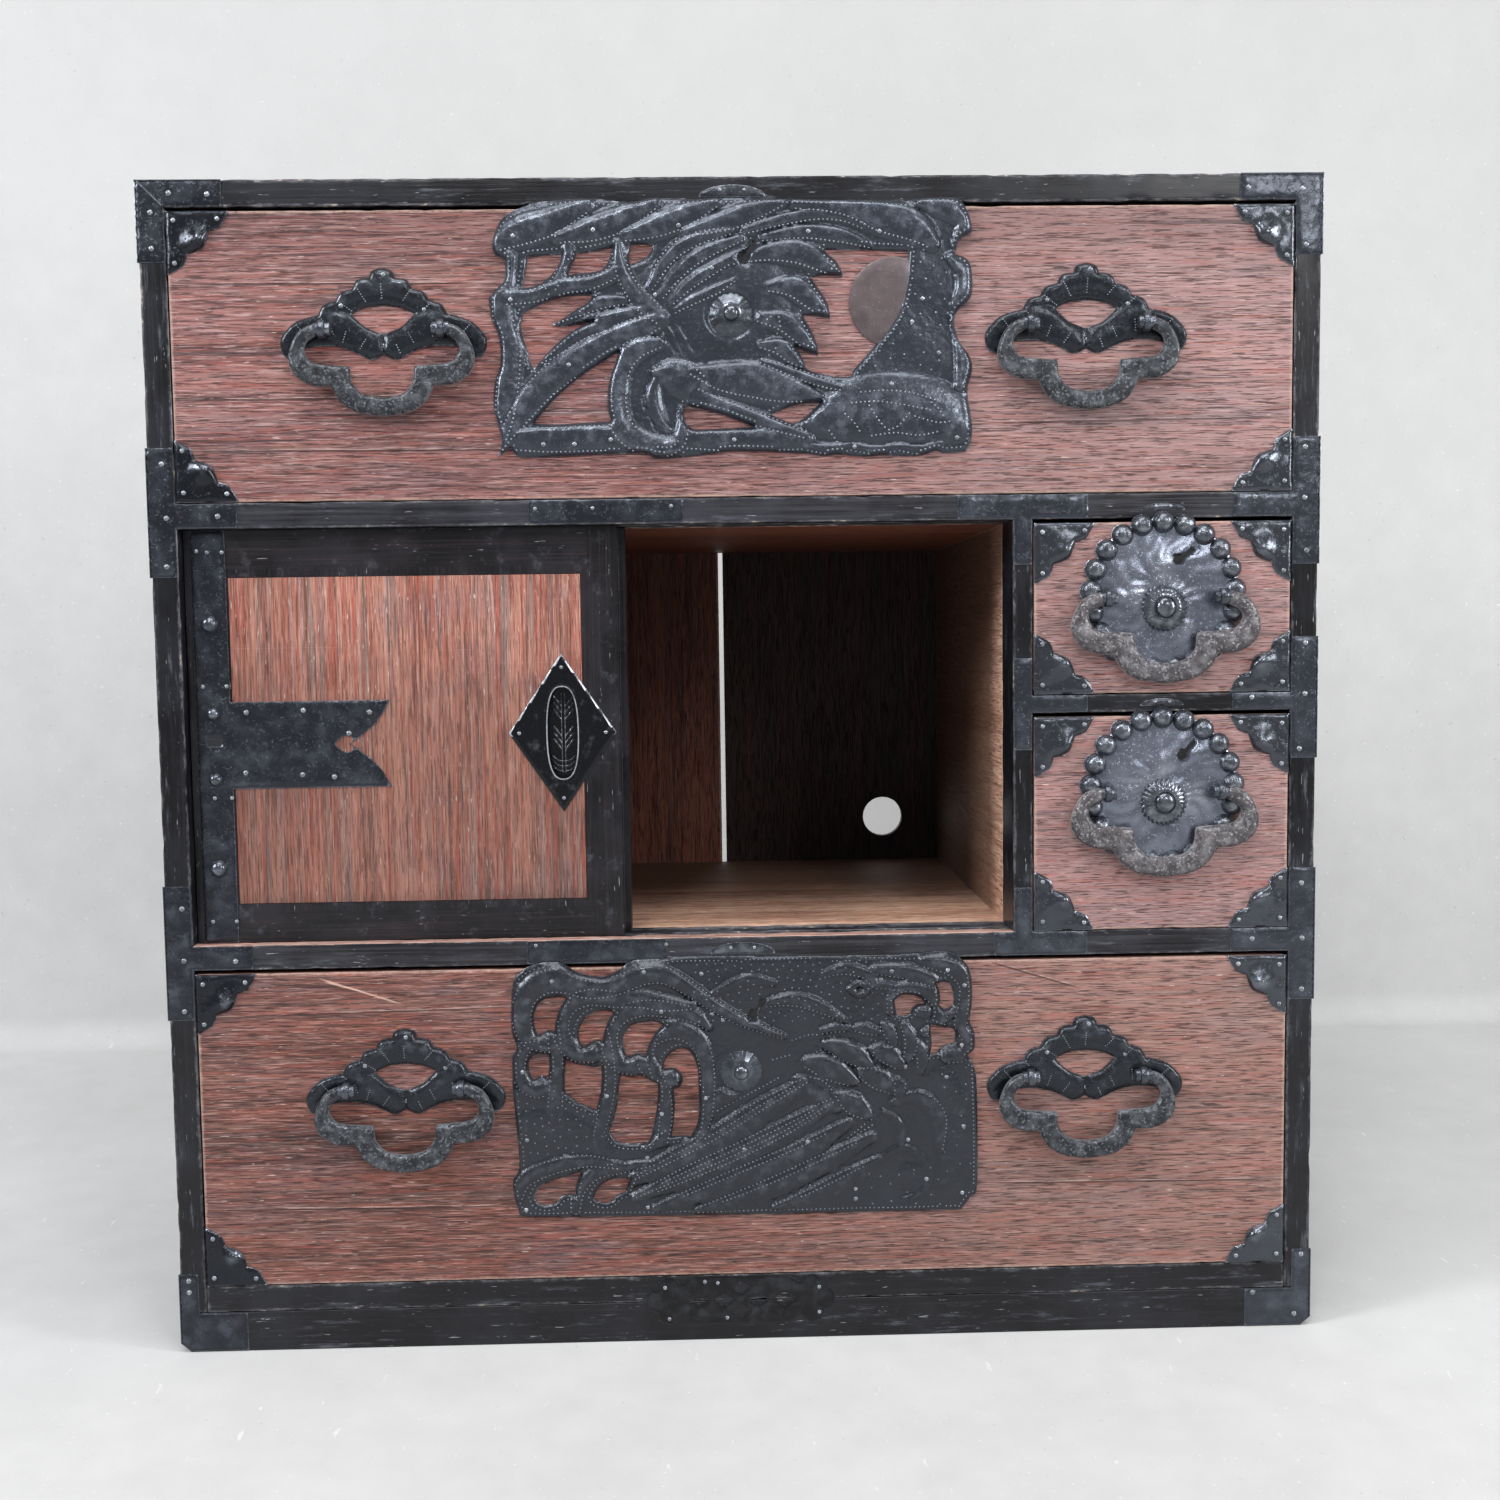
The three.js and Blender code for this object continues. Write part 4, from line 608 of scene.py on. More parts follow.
def tiled(loops, inner):
    """Triangles that fill an outline with holes, through the inner points."""
    points = np.concatenate(list(loops) + [inner]) if len(inner) else np.concatenate(loops)
    edges, start = [], 0
    for l in loops:
        edges += [(start + i, start + (i + 1) % len(l)) for i in range(len(l))]
        start += len(l)
    verts, _, tris, _, _, _ = geometry.delaunay_2d_cdt([Vector(p) for p in points], edges, [], 0, 1e-6)
    verts, tris = np.array([v[:] for v in verts]), np.array(tris)
    tris = tris[inside(verts[tris].mean(1), loops)]
    a, b, c = (verts[tris[:, i]] for i in range(3))
    flip = (b[:, 0] - a[:, 0]) * (c[:, 1] - a[:, 1]) - (b[:, 1] - a[:, 1]) * (c[:, 0] - a[:, 0]) < 0
    tris[flip] = tris[flip][:, ::-1]
    return verts, tris


def rim_edges(tris):
    """Edges that only one triangle uses, in its direction."""
    used = {(int(a), int(b)) for t in tris for a, b in zip(t, np.roll(t, -1))}
    return [(a, b) for a, b in used if (b, a) not in used]


def sheet(name, loops, height, finish, plane, step=2.2, thin=0.8, both=False, crease=50, turn=None,
          wear=None, brink=1.0, **mounting):
    """A closed plate over an outline with holes. height(points, distance to the edge) is how far the front
    stands out of the plane; the back is flat, or the mirror image of the front. Thin is the height at the edge
    and brink the wear there; wear(points, distance) adds wear over the front. Iron finishes paint this wear with
    the glint colour, so it is also a painted glint. Turn lays the plate on the left, the right or the top of the case."""
    low, high = loops[0].min(0), loops[0].max(0)
    grid = np.array([(x + (row % 2) * step / 2, z) for row, z in enumerate(np.arange(low[1], high[1], step * 0.866))
                     for x in np.arange(low[0], high[0], step)])
    grid = grid[inside(grid, loops)]
    seg = segments_of(loops)
    points, tris = tiled(loops, grid[edge_distance(grid, seg) > step * 0.45])
    distance = edge_distance(points, seg)
    rise = np.where(distance < 1e-3, thin, np.maximum(height(points, distance), thin))
    front = np.stack([points[:, 0], plane - rise, points[:, 1]], 1)
    total = len(front)
    rim = rim_edges(tris)
    marks = rise / max(float(rise.max()), 1e-3)
    worn_and_glint = np.where(distance < 1e-3, brink, 0.0)
    if wear:
        worn_and_glint = np.maximum(worn_and_glint, wear(points, distance))
    if both:
        back, back_tris = np.stack([points[:, 0], plane + rise, points[:, 1]], 1), tris
        under = {i: i + total for i in range(total)}
        back_marks, back_worn_and_glint = marks, worn_and_glint
    else:
        flat, back_tris = tiled(loops, np.zeros((0, 2)))
        back = np.stack([flat[:, 0], np.full(len(flat), plane), flat[:, 1]], 1)
        keys = {tuple(np.round(p, 4)): i + total for i, p in enumerate(flat)}
        under = {i: keys[tuple(np.round(points[i], 4))] for edge in rim for i in edge}
        back_marks = back_worn_and_glint = np.zeros(len(flat))
    faces = [tuple(map(int, t)) for t in tris]
    faces += [tuple(int(v) + total for v in t[::-1]) for t in back_tris]
    faces += [(b, a, under[a], under[b]) for a, b in rim]
    verts = np.concatenate([front, back])
    if turn == "left":
        verts, faces = verts[:, [1, 0, 2]], [f[::-1] for f in faces]
    elif turn == "right":
        verts = np.stack([-verts[:, 1], verts[:, 0], verts[:, 2]], 1)
    elif turn == "top":
        verts = np.stack([verts[:, 0], verts[:, 2], -verts[:, 1]], 1)
    return piece(name, verts, faces, finish, crease=crease, **mounting, marks={
        "high": np.concatenate([marks, back_marks]), "edge": np.concatenate([worn_and_glint, back_worn_and_glint])})


def rounded(distance, width):
    """A quarter-round rise from 0 at the edge to 1 at this width."""
    t = np.clip(1 - distance / width, 0, 1)
    return np.sqrt(np.maximum(1 - t * t, 0))


def pillow(low, rise=0.0, width=1.0):
    """The height of a plain plate with rounded edges."""
    return lambda p, d: low + rise * rounded(d, width)


def line_mark(points, seg, width):
    """1 on these segments, fading out to the sides."""
    return np.exp(-(edge_distance(points, seg) / width) ** 2)


def bundle(path, top=0.9, lean=0.0, dots="", rows=()):
    """One raised band of a chased plate: its path as a flat list of x, z and half width, how high it stands
    (1 is the full relief), which way its crest leans (plus is left of the way it runs), and its dotted edges
    ("l", "r" or both) or rows at these shares of its half width."""
    shares = [0.78 * way for side, way in (("l", 1), ("r", -1)) if side in dots] + list(rows)
    return curve_through(np.reshape(path, (-1, 3)), 4.0), top, lean, shares


def raised(points, bands, fall=0.7):
    """The highest band over each point, from 0 to 1. A greater fall keeps to the crests."""
    best = np.zeros(len(points))
    for path, top, lean, _ in bands:
        reach = path[:, 2].max()
        near = np.where(np.all((points > path[:, :2].min(0) - reach) & (points < path[:, :2].max(0) + reach), 1))[0]
        a, d = path[:-1, :2], np.diff(path[:, :2], axis=0)
        for i in range(0, len(near), 2000):
            at = near[i:i + 2000]
            p = points[at, None] - a
            t = np.clip((p * d).sum(2) / np.maximum((d ** 2).sum(1), 1e-9), 0, 1)
            off = p - t[..., None] * d
            half = np.maximum(path[:-1, 2] + t * np.diff(path[:, 2]), 0.3)
            share = np.sqrt((off ** 2).sum(2)) / half
            side = np.sign(d[:, 0] * p[..., 1] - d[:, 1] * p[..., 0])
            share = (share * side)[np.arange(len(at)), share.argmin(1)]
            across = np.where(share > lean, (share - lean) / (1 - lean), (lean - share) / (1 + lean))
            best[at] = np.maximum(best[at], top * np.maximum(1 - across ** 2, 0) ** fall * (np.abs(share) < 1))
    return best


def scored(points, lines, width, depth):
    """How deep lines are cut into a surface."""
    return depth * line_mark(points, stretches(curve_through(pairs(l), 2.0) for l in lines), width)


def spaced(path, gap):
    """Points a gap apart along a path."""
    path = np.asarray(path, float)
    run = np.concatenate([[0], np.cumsum(np.hypot(*np.diff(path[:, :2], axis=0).T))])
    at = np.arange(0, run[-1], gap)
    return np.stack([np.interp(at, run, path[:, k]) for k in range(path.shape[1])], 1)


def dotted(bands, lines, gap=3.3):
    """Where the punched dots lie: on the bands' dotted edges and on separate lines."""
    out = []
    for path, _, _, shares in bands:
        way = np.gradient(path[:, :2], axis=0)
        way /= np.maximum(np.hypot(*way.T), 1e-6)[:, None]
        for share in shares:
            off = path[:, 2:3] * share
            out.append(spaced(path[:, :2] + off * np.stack([-way[:, 1], way[:, 0]], 1), gap))
    return np.concatenate(out + [spaced(curve_through(pairs(l), 3.0), gap) for l in lines])


def scattered(seed, low, high, gap):
    """Dots strewn over a rectangle, none nearer to another than the gap."""
    draw = random.Random(seed)
    out = []
    for _ in range(int(6 * (high[0] - low[0]) * (high[1] - low[1]) / gap ** 2)):
        at = (draw.uniform(low[0], high[0]), draw.uniform(low[1], high[1]))
        if all((at[0] - x) ** 2 + (at[1] - z) ** 2 > gap * gap for x, z in out):
            out.append(at)
    return np.array(out)


def thinned(points, gap):
    """The points without those that crowd an earlier one."""
    seen, out = {}, []
    for x, z in points:
        key = (int(x // gap), int(z // gap))
        close = (q for i in (-1, 0, 1) for j in (-1, 0, 1) for q in seen.get((key[0] + i, key[1] + j), ()))
        if all((x - u) ** 2 + (z - v) ** 2 > gap * gap for u, v in close):
            seen.setdefault(key, []).append((x, z))
            out.append((x, z))
    return np.array(out)


def grown(loop, by):
    """An outline moved outwards, away from what it holds."""
    p = np.asarray(loop, float)
    side = np.sign(area(p))
    ahead = np.roll(p, -1, 0) - np.roll(p, 1, 0)
    ahead /= np.maximum(np.hypot(*ahead.T), 1e-6)[:, None]
    return p + by * side * np.stack([ahead[:, 1], -ahead[:, 0]], 1)


def chased(node, loops, height, bands, dots, body, finish, step=1.8, inset=3.6, dot=0.8, close=2.4,
           spark="punched"):
    """A drawer's plate with relief, crests polished by wear that carry a painted glint, a painted glint along its
    left and right rims, and punched dots in rows and all along its edges.
    """
    def worn_and_glint(p, d):
        # Crests polished by wear with a painted glint, and a painted glint along the rims left and right of x 130.
        outer_share = np.clip((np.abs(p[:, 0]) - 130) / 30, 0, 1)
        return np.maximum(0.62 * raised(p, bands, 9) * rounded(d, 3), 0.85 * np.exp(-(d / 1.8) ** 2) * outer_share)

    sheet(node + "_relief", loops, height, finish, PROUD, step=step, thin=0.8, wear=worn_and_glint, **wrought(body, node))
    rows = [dots]
    for n, loop in enumerate(loops):
        if inset and size(loop) > 200:
            rows.append(spaced(grown(loop, -inset if n == 0 else inset), 3.5))
    dots = np.concatenate(rows)
    dots = thinned(dots[inside(dots, loops)], close)
    distance = edge_distance(dots, segments_of(loops))
    dots, distance = dots[distance > 1.5], distance[distance > 1.5]
    studs(node + "_dots", heads_at(dots, PROUD - height(dots, distance) + 0.1, dot), dot_heads, spark,
          wrought(body))


def lathe(name, profile, at, plane, finish, sides=32, flutes=0, depth=0.0, axis="y", **mounting):
    """A closed turned piece at an (x, z) spot. Profile rows are (radius, out): out is forward of the plane."""
    points, marks = [], []
    for radius, out in profile:
        for i in range(sides):
            turn = 2 * math.pi * i / sides
            r = radius * (1 + depth * (radius / profile[0][0]) ** 3 * math.cos(flutes * turn)) if flutes else radius
            points.append((r * math.cos(turn), out, r * math.sin(turn)))
            marks.append(out / max(profile[-1][1], 1e-3))
    faces = skin(len(profile), sides)
    p = np.array(points)
    if axis == "y":
        placed = np.stack([at[0] + p[:, 0], plane - p[:, 1], at[1] + p[:, 2]], 1)
    else:
        placed = np.stack([at[0] + p[:, 1], plane + p[:, 0], at[1] + p[:, 2]], 1)
        faces = [f[::-1] for f in faces]
    return piece(name, placed, faces, finish, marks={"high": np.clip(marks, 0, 1)}, **mounting)


def shake(x, y, z, seed):
    return noise_at((x + seed * 17.0, y + seed * 31.0, z - seed * 13.0))


def board(name, profile, axis, start, end, finish, radius=1.3, chips=0.9, seed=1, step=7, ends=True,
          other=None, **mounting):
    """A length of wood with softened, chipped edges. The profile is a list of corners in the two axes
    other than the length's. Ends tells which ends are softened. Other is a second finish and the test
    (centre, normal) of the faces that have it."""
    p = np.asarray(profile, float)
    if area(p) < 0:
        p = p[::-1]
    ring = []       # the points all round, each with its wear
    for i, at in enumerate(p):
        back, on_way = p[i - 1] - at, p[(i + 1) % len(p)] - at
        ways = [v / np.hypot(*v) for v in (back, on_way)]
        a, b = at + ways[0] * radius, at + ways[1] * radius
        ring += [(a * (1 - t) ** 2 + 2 * at * t * (1 - t) + b * t * t, 1.0) for t in (0, 0.3, 0.7, 1)]
        side = np.hypot(*on_way)
        spans = [s for s in ((radius + 2.2, 0.45), (radius + 6, 0.08)) if s[0] < side / 2 - 0.4]
        inner = side - 2 * (radius + 6)
        parts = int(inner / 30) + 1
        fars = spans + [(radius + 6 + inner * k / parts, 0.0) for k in range(1, parts)]
        fars += [(side - far, worth) for far, worth in reversed(spans)]
        ring += [(at + ways[1] * far, worth) for far, worth in fars]
    ring, wear = np.array([at for at, _ in ring]), [worth for _, worth in ring]
    inward = ring - grown(ring, 1.0)
    count = max(3, int((end - start - 16) / step))
    rows = [(start, 3.0, 0.1), (start, radius, 1.0), (start + radius * 0.3, radius * 0.3, 1.0),
            (start + radius, 0.0, 1.0), (start + 4, 0.0, 0.35)]
    rows += [(start + 8 + (end - start - 16) * k / count, 0.0, 0.0) for k in range(count + 1)]
    rows += [(start + end - at, shrink, worth) for at, shrink, worth in reversed(rows[:5])]
    if ends in (False, "right"):
        rows = [(start, 0.0, 0.0)] + rows[5:]
    if ends in (False, "left"):
        rows = rows[:-5] + [(end, 0.0, 0.0)]
    points, marks = [], []
    for at, shrink, worth in rows:
        for (u, v), (iu, iv), w in zip(ring, inward, wear):
            mark = max(w, worth)
            rough = shake(at / 14, u / 9, v / 9, seed) + 0.5 * shake(at / 5, u / 5, v / 5, seed)
            bite = shrink + chips * mark * max(0.0, rough - 0.12) * (1.6 if shrink < radius else 0.0)
            along = (u + iu * bite, v + iv * bite)
            points.append(along[:axis] + (at,) + along[axis:])
            marks.append(mark)
    faces = skin(len(rows), len(ring))
    if axis == 1:
        faces = [f[::-1] for f in faces]
    made = piece(name, points, faces, finish, marks={"edge": marks}, crease=32, **mounting)
    if other:
        made.data.materials.append(finishes[other[0]])
        for face in made.data.polygons:
            if abs(face.normal[axis]) < 0.5 and other[1](np.array(face.center) / MM, face.normal):
                face.material_index = 1
    return made


def box_of(node):
    low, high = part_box(node)
    return np.array(low) / MM, np.array(high) / MM


def plank(node, axis, finish, slot="black_lacquer", **more):
    """A board in place of a plain CAD box, in that box."""
    low, high = box_of(node)
    a, b = [i for i in range(3) if i != axis]
    board(node + "_wood", oblong(low[a], high[a], low[b], high[b]), axis, low[axis], high[axis], finish,
          **on("carcass", slot, node), **more)


def kept(node, finish, bevel=0.5, segments=2):
    """A CAD node that keeps its shape, with soft edges and a finish."""
    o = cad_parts[node]
    weld = o.modifiers.new("weld", "WELD")
    weld.merge_threshold = 0.002 * MM
    soft = o.modifiers.new("soft edges", "BEVEL")
    soft.width = bevel * MM
    soft.segments = segments
    soft.limit_method = "ANGLE"
    soft.angle_limit = math.radians(35)
    soft.harden_normals = True
    o.data.materials.clear()
    o.data.materials.append(finishes[finish])


def dome_group(name, sides, rows):
    """A node group that sets a dome of the size stored on each point, facing forward, and the dome."""
    mesh = bpy.data.meshes.new(name + "_dome")
    points = [(r * math.cos(2 * math.pi * i / sides), -out, r * math.sin(2 * math.pi * i / sides))
              for r, out in rows for i in range(sides)]
    mesh.from_pydata(points, [], skin(len(rows), sides))
    mesh.polygons.foreach_set("use_smooth", [True] * len(mesh.polygons))
    store(mesh, "high", [-p[1] / rows[-1][1] for p in points])
    group = bpy.data.node_groups.new(name, "GeometryNodeTree")
    for label, kind, way in (("Spots", "Geometry", "INPUT"), ("Head", "Object", "INPUT"),
                             ("Heads", "Geometry", "OUTPUT")):
        group.interface.new_socket(label, in_out=way, socket_type="NodeSocket" + kind)
    add = group.nodes.new
    given, end = add("NodeGroupInput"), add("NodeGroupOutput")
    info, size_of, spread, solid = (add("GeometryNode" + kind) for kind in (
        "ObjectInfo", "InputNamedAttribute", "InstanceOnPoints", "RealizeInstances"))
    size_of.data_type = "FLOAT"
    size_of.inputs["Name"].default_value = "size"
    info.inputs["As Instance"].default_value = True
    for source, out, target, into in (
            (given, "Spots", spread, "Points"), (given, "Head", info, "Object"), (info, "Geometry", spread, "Instance"),
            (size_of, "Attribute", spread, "Scale"), (spread, "Instances", solid, "Geometry"),
            (solid, "Geometry", end, "Heads")):
        group.links.new(source.outputs[out], target.inputs[into])
    return group, bpy.data.objects.new(name + "_dome", mesh)


def studs(name, spots, heads, finish, mounting):
    """Domes at (x, y, z, radius) spots, made by a node group and kept as a plain mesh."""
    group, head = heads
    spots = np.asarray(spots, float)
    mesh = bpy.data.meshes.new(name + "_spots")
    mesh.from_pydata((spots[:, :3] * MM).tolist(), [], [])
    store(mesh, "size", spots[:, 3] * MM)
    base = bpy.data.objects.new(name + "_spots", mesh)
    scene.collection.objects.link(base)
    spread = base.modifiers.new("heads", "NODES")
    spread.node_group = group
    spread[next(s.identifier for s in group.interface.items_tree if s.name == "Head")] = head
    solid = bpy.data.meshes.new_from_object(base.evaluated_get(bpy.context.evaluated_depsgraph_get()))
    bpy.data.objects.remove(base)
    solid.name = name
    solid.materials.clear()
    solid.materials.append(finishes[finish])
    mounted(bpy.data.objects.new(name, solid), **mounting)


def heads_at(spots, y, radius):
    """(x, y, z, radius) rows for heads at (x, z) spots, at one depth or at a depth for each."""
    return [(x, at, z, radius) for (x, z), at in zip(spots, np.broadcast_to(y, len(spots)))]


def nails(name, spots, y, radius, body="carcass"):
    studs(name, heads_at(spots, y, radius), nail_heads, "nail", wrought(body))


nail_heads = dome_group("nail_heads", 12, [(1.0, -0.35), (0.96, 0.12), (0.72, 0.42), (0.3, 0.58)])
bead_heads = dome_group("bead_heads", 20, [(1.0, -0.05), (0.97, 0.12), (0.87, 0.22), (0.79, 0.38), (0.6, 0.57),
                                           (0.33, 0.69), (0.1, 0.72)])
dot_heads = dome_group("dot_heads", 8, [(1.0, -0.3), (0.85, 0.35), (0.45, 0.75), (0.15, 0.85)])


# The case

BARE_SIDE = ("wall", lambda c, n: abs(c[0]) < 420.5 and c[1] > -154)
BARE_SHELF = ("inner_across", lambda c, n: c[1] > -150)
BARE_SILL = ("sill", lambda c, n: n[2] > 0.3 and c[1] < -186 and 316.5 < c[2] < 400)
GROOVES = ((-185.2, -178.2), (-167.2, -160.2))

plank("left_side", 2, "lacquer_z", seed=1, other=BARE_SIDE)
plank("right_side", 2, "lacquer_z", seed=2, other=BARE_SIDE)
plank("bottom_board", 0, "lacquer_x", seed=3, other=BARE_SHELF)
plank("lower_shelf", 0, "inner_across", "inner_wood", seed=5, chips=0.2, radius=0.6)
plank("upper_shelf", 0, "ceiling_wood", "inner_wood", seed=6, chips=0.2, radius=0.6)
plank("back_board_left", 2, "back", "back_wood", seed=9, chips=0.5)
kept("back_board_right", "dark_back", bevel=0.8)
board("top_middle", oblong(FRONT, BACK, 868, 888), 0, -377.7, 377.7, "lacquer_x", seed=4, ends=False,
      **lacquered("top_board"))
for side, start_x in (("left", -SIDE), ("right", SIDE - 62)):
    for part, near, far, top in (("", -165.0, BACK, 888), ("_under_strap", FRONT, -165.1, 886.7)):
        board("top_end_" + side + part, oblong(near, far, 868, top), 0, start_x, start_x + 62, "lacquer_x",
              radius=0.5, chips=0.5, seed=21, ends=side, **lacquered("top_board"))
for rail, low, high, deep, seed in (("upper_rail", 633, 652, 9, 5), ("lower_rail", 299, 318, -3, 6)):
    face, far = (low, high) if deep > 0 else (high, low)
    corners = [(FRONT, far), (FRONT, face)]
    for a, b in GROOVES:
        corners += [(a, face), (a, face + deep), (b, face + deep), (b, face)]
    corners += [(RAIL_BACK, face), (RAIL_BACK, far)]
    for part, outline, left, right, other in (
            ("_tracks", corners, -420.0, 207.3, BARE_SILL),
            ("_plain", oblong(FRONT, RAIL_BACK, low, high), 207.4, 420.0, None)):
        board(rail + part, outline, 0, left, right, "lacquer_rail", radius=0.8, seed=seed, ends=False, other=other,
              **lacquered(rail))
board("small_shelf_wood", oblong(FRONT, 206.8, 486, 500), 0, 222.0, 420.0, "lacquer_x", seed=7, other=BARE_SHELF,
      **lacquered("small_shelf"))
board("partition_post", oblong(207, 222, FRONT, RAIL_BACK), 2, 318.0, 633.0, "lacquer_z", seed=8,
      **lacquered("partition"))
board("partition_wall", oblong(207, 222, 318, 633), 1, RAIL_BACK + 0.1, 206.8, "wall", radius=0.4, chips=0.1,
      seed=9, **on("carcass", "inner_wood", "partition"))
kept("base_frame", "lacquer_x", bevel=1.0, segments=3)

for node, depth in (("top_board", 9), ("upper_rail", 5.5), ("lower_rail", 9), ("small_shelf", 5.5)):
    loop = node_loops(node, FRONT - 1.2)[0]
    sheet(node + "_strike", [outline_curve(loop, 1.6)], pillow(0.5, 0.7, 3.0), "strike_iron", FRONT, step=2.0,
          thin=0.5, **wrought("carcass", node))
    x, z = loop[:, 0].mean(), loop[:, 1].max() - depth * 0.45
    nails(node + "_strike_nails", [(x - depth, z), (x + depth, z)], FRONT - 1.5, 1.5)

for node in [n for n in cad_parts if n.startswith("strap_")]:
    low, high = box_of(node)
    faces = [("front", 1, low[1], FRONT, None)]
    if "centre" not in node:
        at, turn = (low[0], "left") if low[0] < 0 else (high[0], "right")
        faces.append(("side", 0, at, -SIDE, turn))
    if "top_left" in node or "top_right" in node:
        faces.append(("over", 2, high[2], -886.8, "top"))
    for word, axis, depth, plane, turn in faces:
        for n, loop in enumerate(node_loops(node, depth, axis)):
            sheet(f"{node}_{word}_{n}", [outline_curve(loop, 3.0, corner=20)], pillow(0.55, 0.64, 1.8), "iron",
                  plane, step=3.0, thin=0.35, turn=turn, **wrought("carcass", node))

sheet("mitre_line", [pairs([-439.3, 886.4, -438.6, 887.1, -421.0, 869.5, -421.7, 868.8])], pillow(0.3),
      "strike_iron", FRONT - 1.0, step=3.0, thin=0.3, **wrought("carcass"))
for name, corners, spots in (
        ("upper_splice", oblong(-158, -42, 633.8, 651.2), ((-153, 645), (-110, 645), (-51, 646))),
        ("lower_splice", oblong(-167, -60, 299.8, 317.2), ((-160, 314), (-60.5, 313)))):
    sheet(name, [outline_curve(corners, 3.0, corner=20)], pillow(0.35, 0.5, 1.2), "iron", FRONT, step=3.0,
          thin=0.3, **wrought("carcass"))
    nails(name + "_nails", spots, FRONT - 0.9, 1.7)
nails("case_nails", pairs([
    -416, 878, -388, 877, -430, 864, -430, 838, -429, 681, -427, 641, -389, 642, -428, 605, -427, 347, -427, 307,
    -388, 306, -428, 268, 384, 877, 425, 876, 428, 835, 391, 648, 429, 685, 429, 647, 431, 607, 390, 496, 431, 537,
    431, 498, 427, 456, 430, 352, 392, 309, 431, 309, 431, 269, -433, 48, -433, 57, 433, 58, 395, 28, 428, 10]),
    FRONT - 1.15, 2.3)

sheet("ornament_relief", [outline_curve(l, 2.0) for l in node_loops("base_ornament", FRONT - 1.5)],
      pillow(0.5, 0.9, 4.5), "black_iron", FRONT, step=1.8, thin=0.5, **wrought("carcass", "base_ornament"))
nails("ornament_nails", pairs([-66, 43, -35, 47, -25, 46, 54, 41, 54, 21, -63, 18, -18, 18]), FRONT - 1.7, 1.7)


# Drawers

DRAWERS = {"upper_drawer": "front_upper", "lower_drawer": "front_lower",
           "small_upper_drawer": "front_small", "small_lower_drawer": "front_small"}

for number, (drawer, finish) in enumerate(DRAWERS.items()):
    low, high = box_of(drawer + "_front")
    board(drawer + "_board", oblong(PROUD, high[1], low[2], high[2]), 0, low[0], high[0], finish, radius=1.0,
          chips=0.7, seed=11 + number, **on(drawer, "drawer_wood", drawer + "_front"))
    kept(drawer + "_box", "inner", bevel=0.6)
    low, high = low[[0, 2]], high[[0, 2]]
    corner_nails = []
    for n, loop in enumerate(node_loops(drawer + "_front", PROUD - 1.6)):
        middle = loop.mean(0)

        def swollen(p, d):
            away = p - middle
            bulge = np.exp(-(np.hypot(*away.T) / 9) ** 2)
            ripple = np.sin(away[:, 0] / 5 + 1) * np.sin(away[:, 1] / 4)
            return 0.6 + 1.2 * rounded(d, 3.0) + (4.2 * bulge + 0.5 * ripple) * rounded(d, 7.0)

        # The wear mark is a painted highlight on each fitting's dome, a little up and to the right of its middle.
        sheet(f"{drawer}_corner_{n}", [outline_curve(loop, 1.8)], swollen, "fitting_iron", PROUD, step=2.0,
              thin=0.5, wear=lambda p, d: np.exp(-(np.hypot(*(p - middle - (2, 3)).T) / 6) ** 2) * 0.9,
              **wrought(drawer))
        corner = np.where(middle < (low + high) / 2, low, high)
        way = np.sign((low + high) / 2 - corner)
        corner_nails += [corner + way * spot for spot in ((6, 38), (38, 6), (6, 7))]
    nails(drawer + "_corner_nails", corner_nails, PROUD - 2.2, 2.0, drawer)


# Handles and locks

EYE_REACH = 43.5        # from the middle of a plate to each eye
EYE = [(3.4, -6.6), (4.4, -6.2), (4.7, -5.4), (4.7, -3.0), (6.3, -2.5), (6.8, -1.4), (6.8, 1.4), (6.3, 2.5),
       (4.7, 3.0), (4.7, 5.4), (4.4, 6.2), (3.4, 6.6)]


def eyes(node, middle, height, body):
    """The round eyes that a bail turns in, with their swollen middles."""
    for k, x in enumerate((middle - EYE_REACH, middle + EYE_REACH)):
        lathe(f"{node}_eye_{k}", EYE, (x, height), PIN, "bead_iron", sides=24, axis="x", **wrought(body))


def bail(node, finish, spread, roll):
    """A bail with a rough face and rolled edges, with a painted glint along the rolled edges."""
    def rough(p, d):
        return 1.2 + 3.3 * rounded(d, roll) + 0.25 * np.sin(p[:, 0] / 3.1) * np.sin(p[:, 1] / 2.7)

    outline = grown(outline_curve(node_loops(node, PIN - 4.5)[0], 1.8, corner=40), spread)
    # The wear mark is a painted glint in a ring along the rolled edges.
    sheet(node + "_iron", [outline], rough, finish, PIN, step=1.7, thin=1.2, both=True, crease=75,
          wear=lambda p, d: 0.75 * np.exp(-(d - 1.6) ** 2), **wrought(node, node))


def painted_keyhole_shade(name, radius, loop, mounting):
    """A near-black disc behind a keyhole: painted shade of the lock's inside."""
    lathe(name + "_keyhole", [(radius, 0.05), (radius, 0.35), (2.0, 0.4)], (loop.min(0) + loop.max(0)) / 2, PROUD,
          "hollow", sides=24, **mounting)


def push_button(drawer, profile, at):
    node = drawer + "_lock_button"
    lathe(node + "_iron", profile, at, PROUD, "boss_iron", sides=28, **on(node, "cast_iron", node))


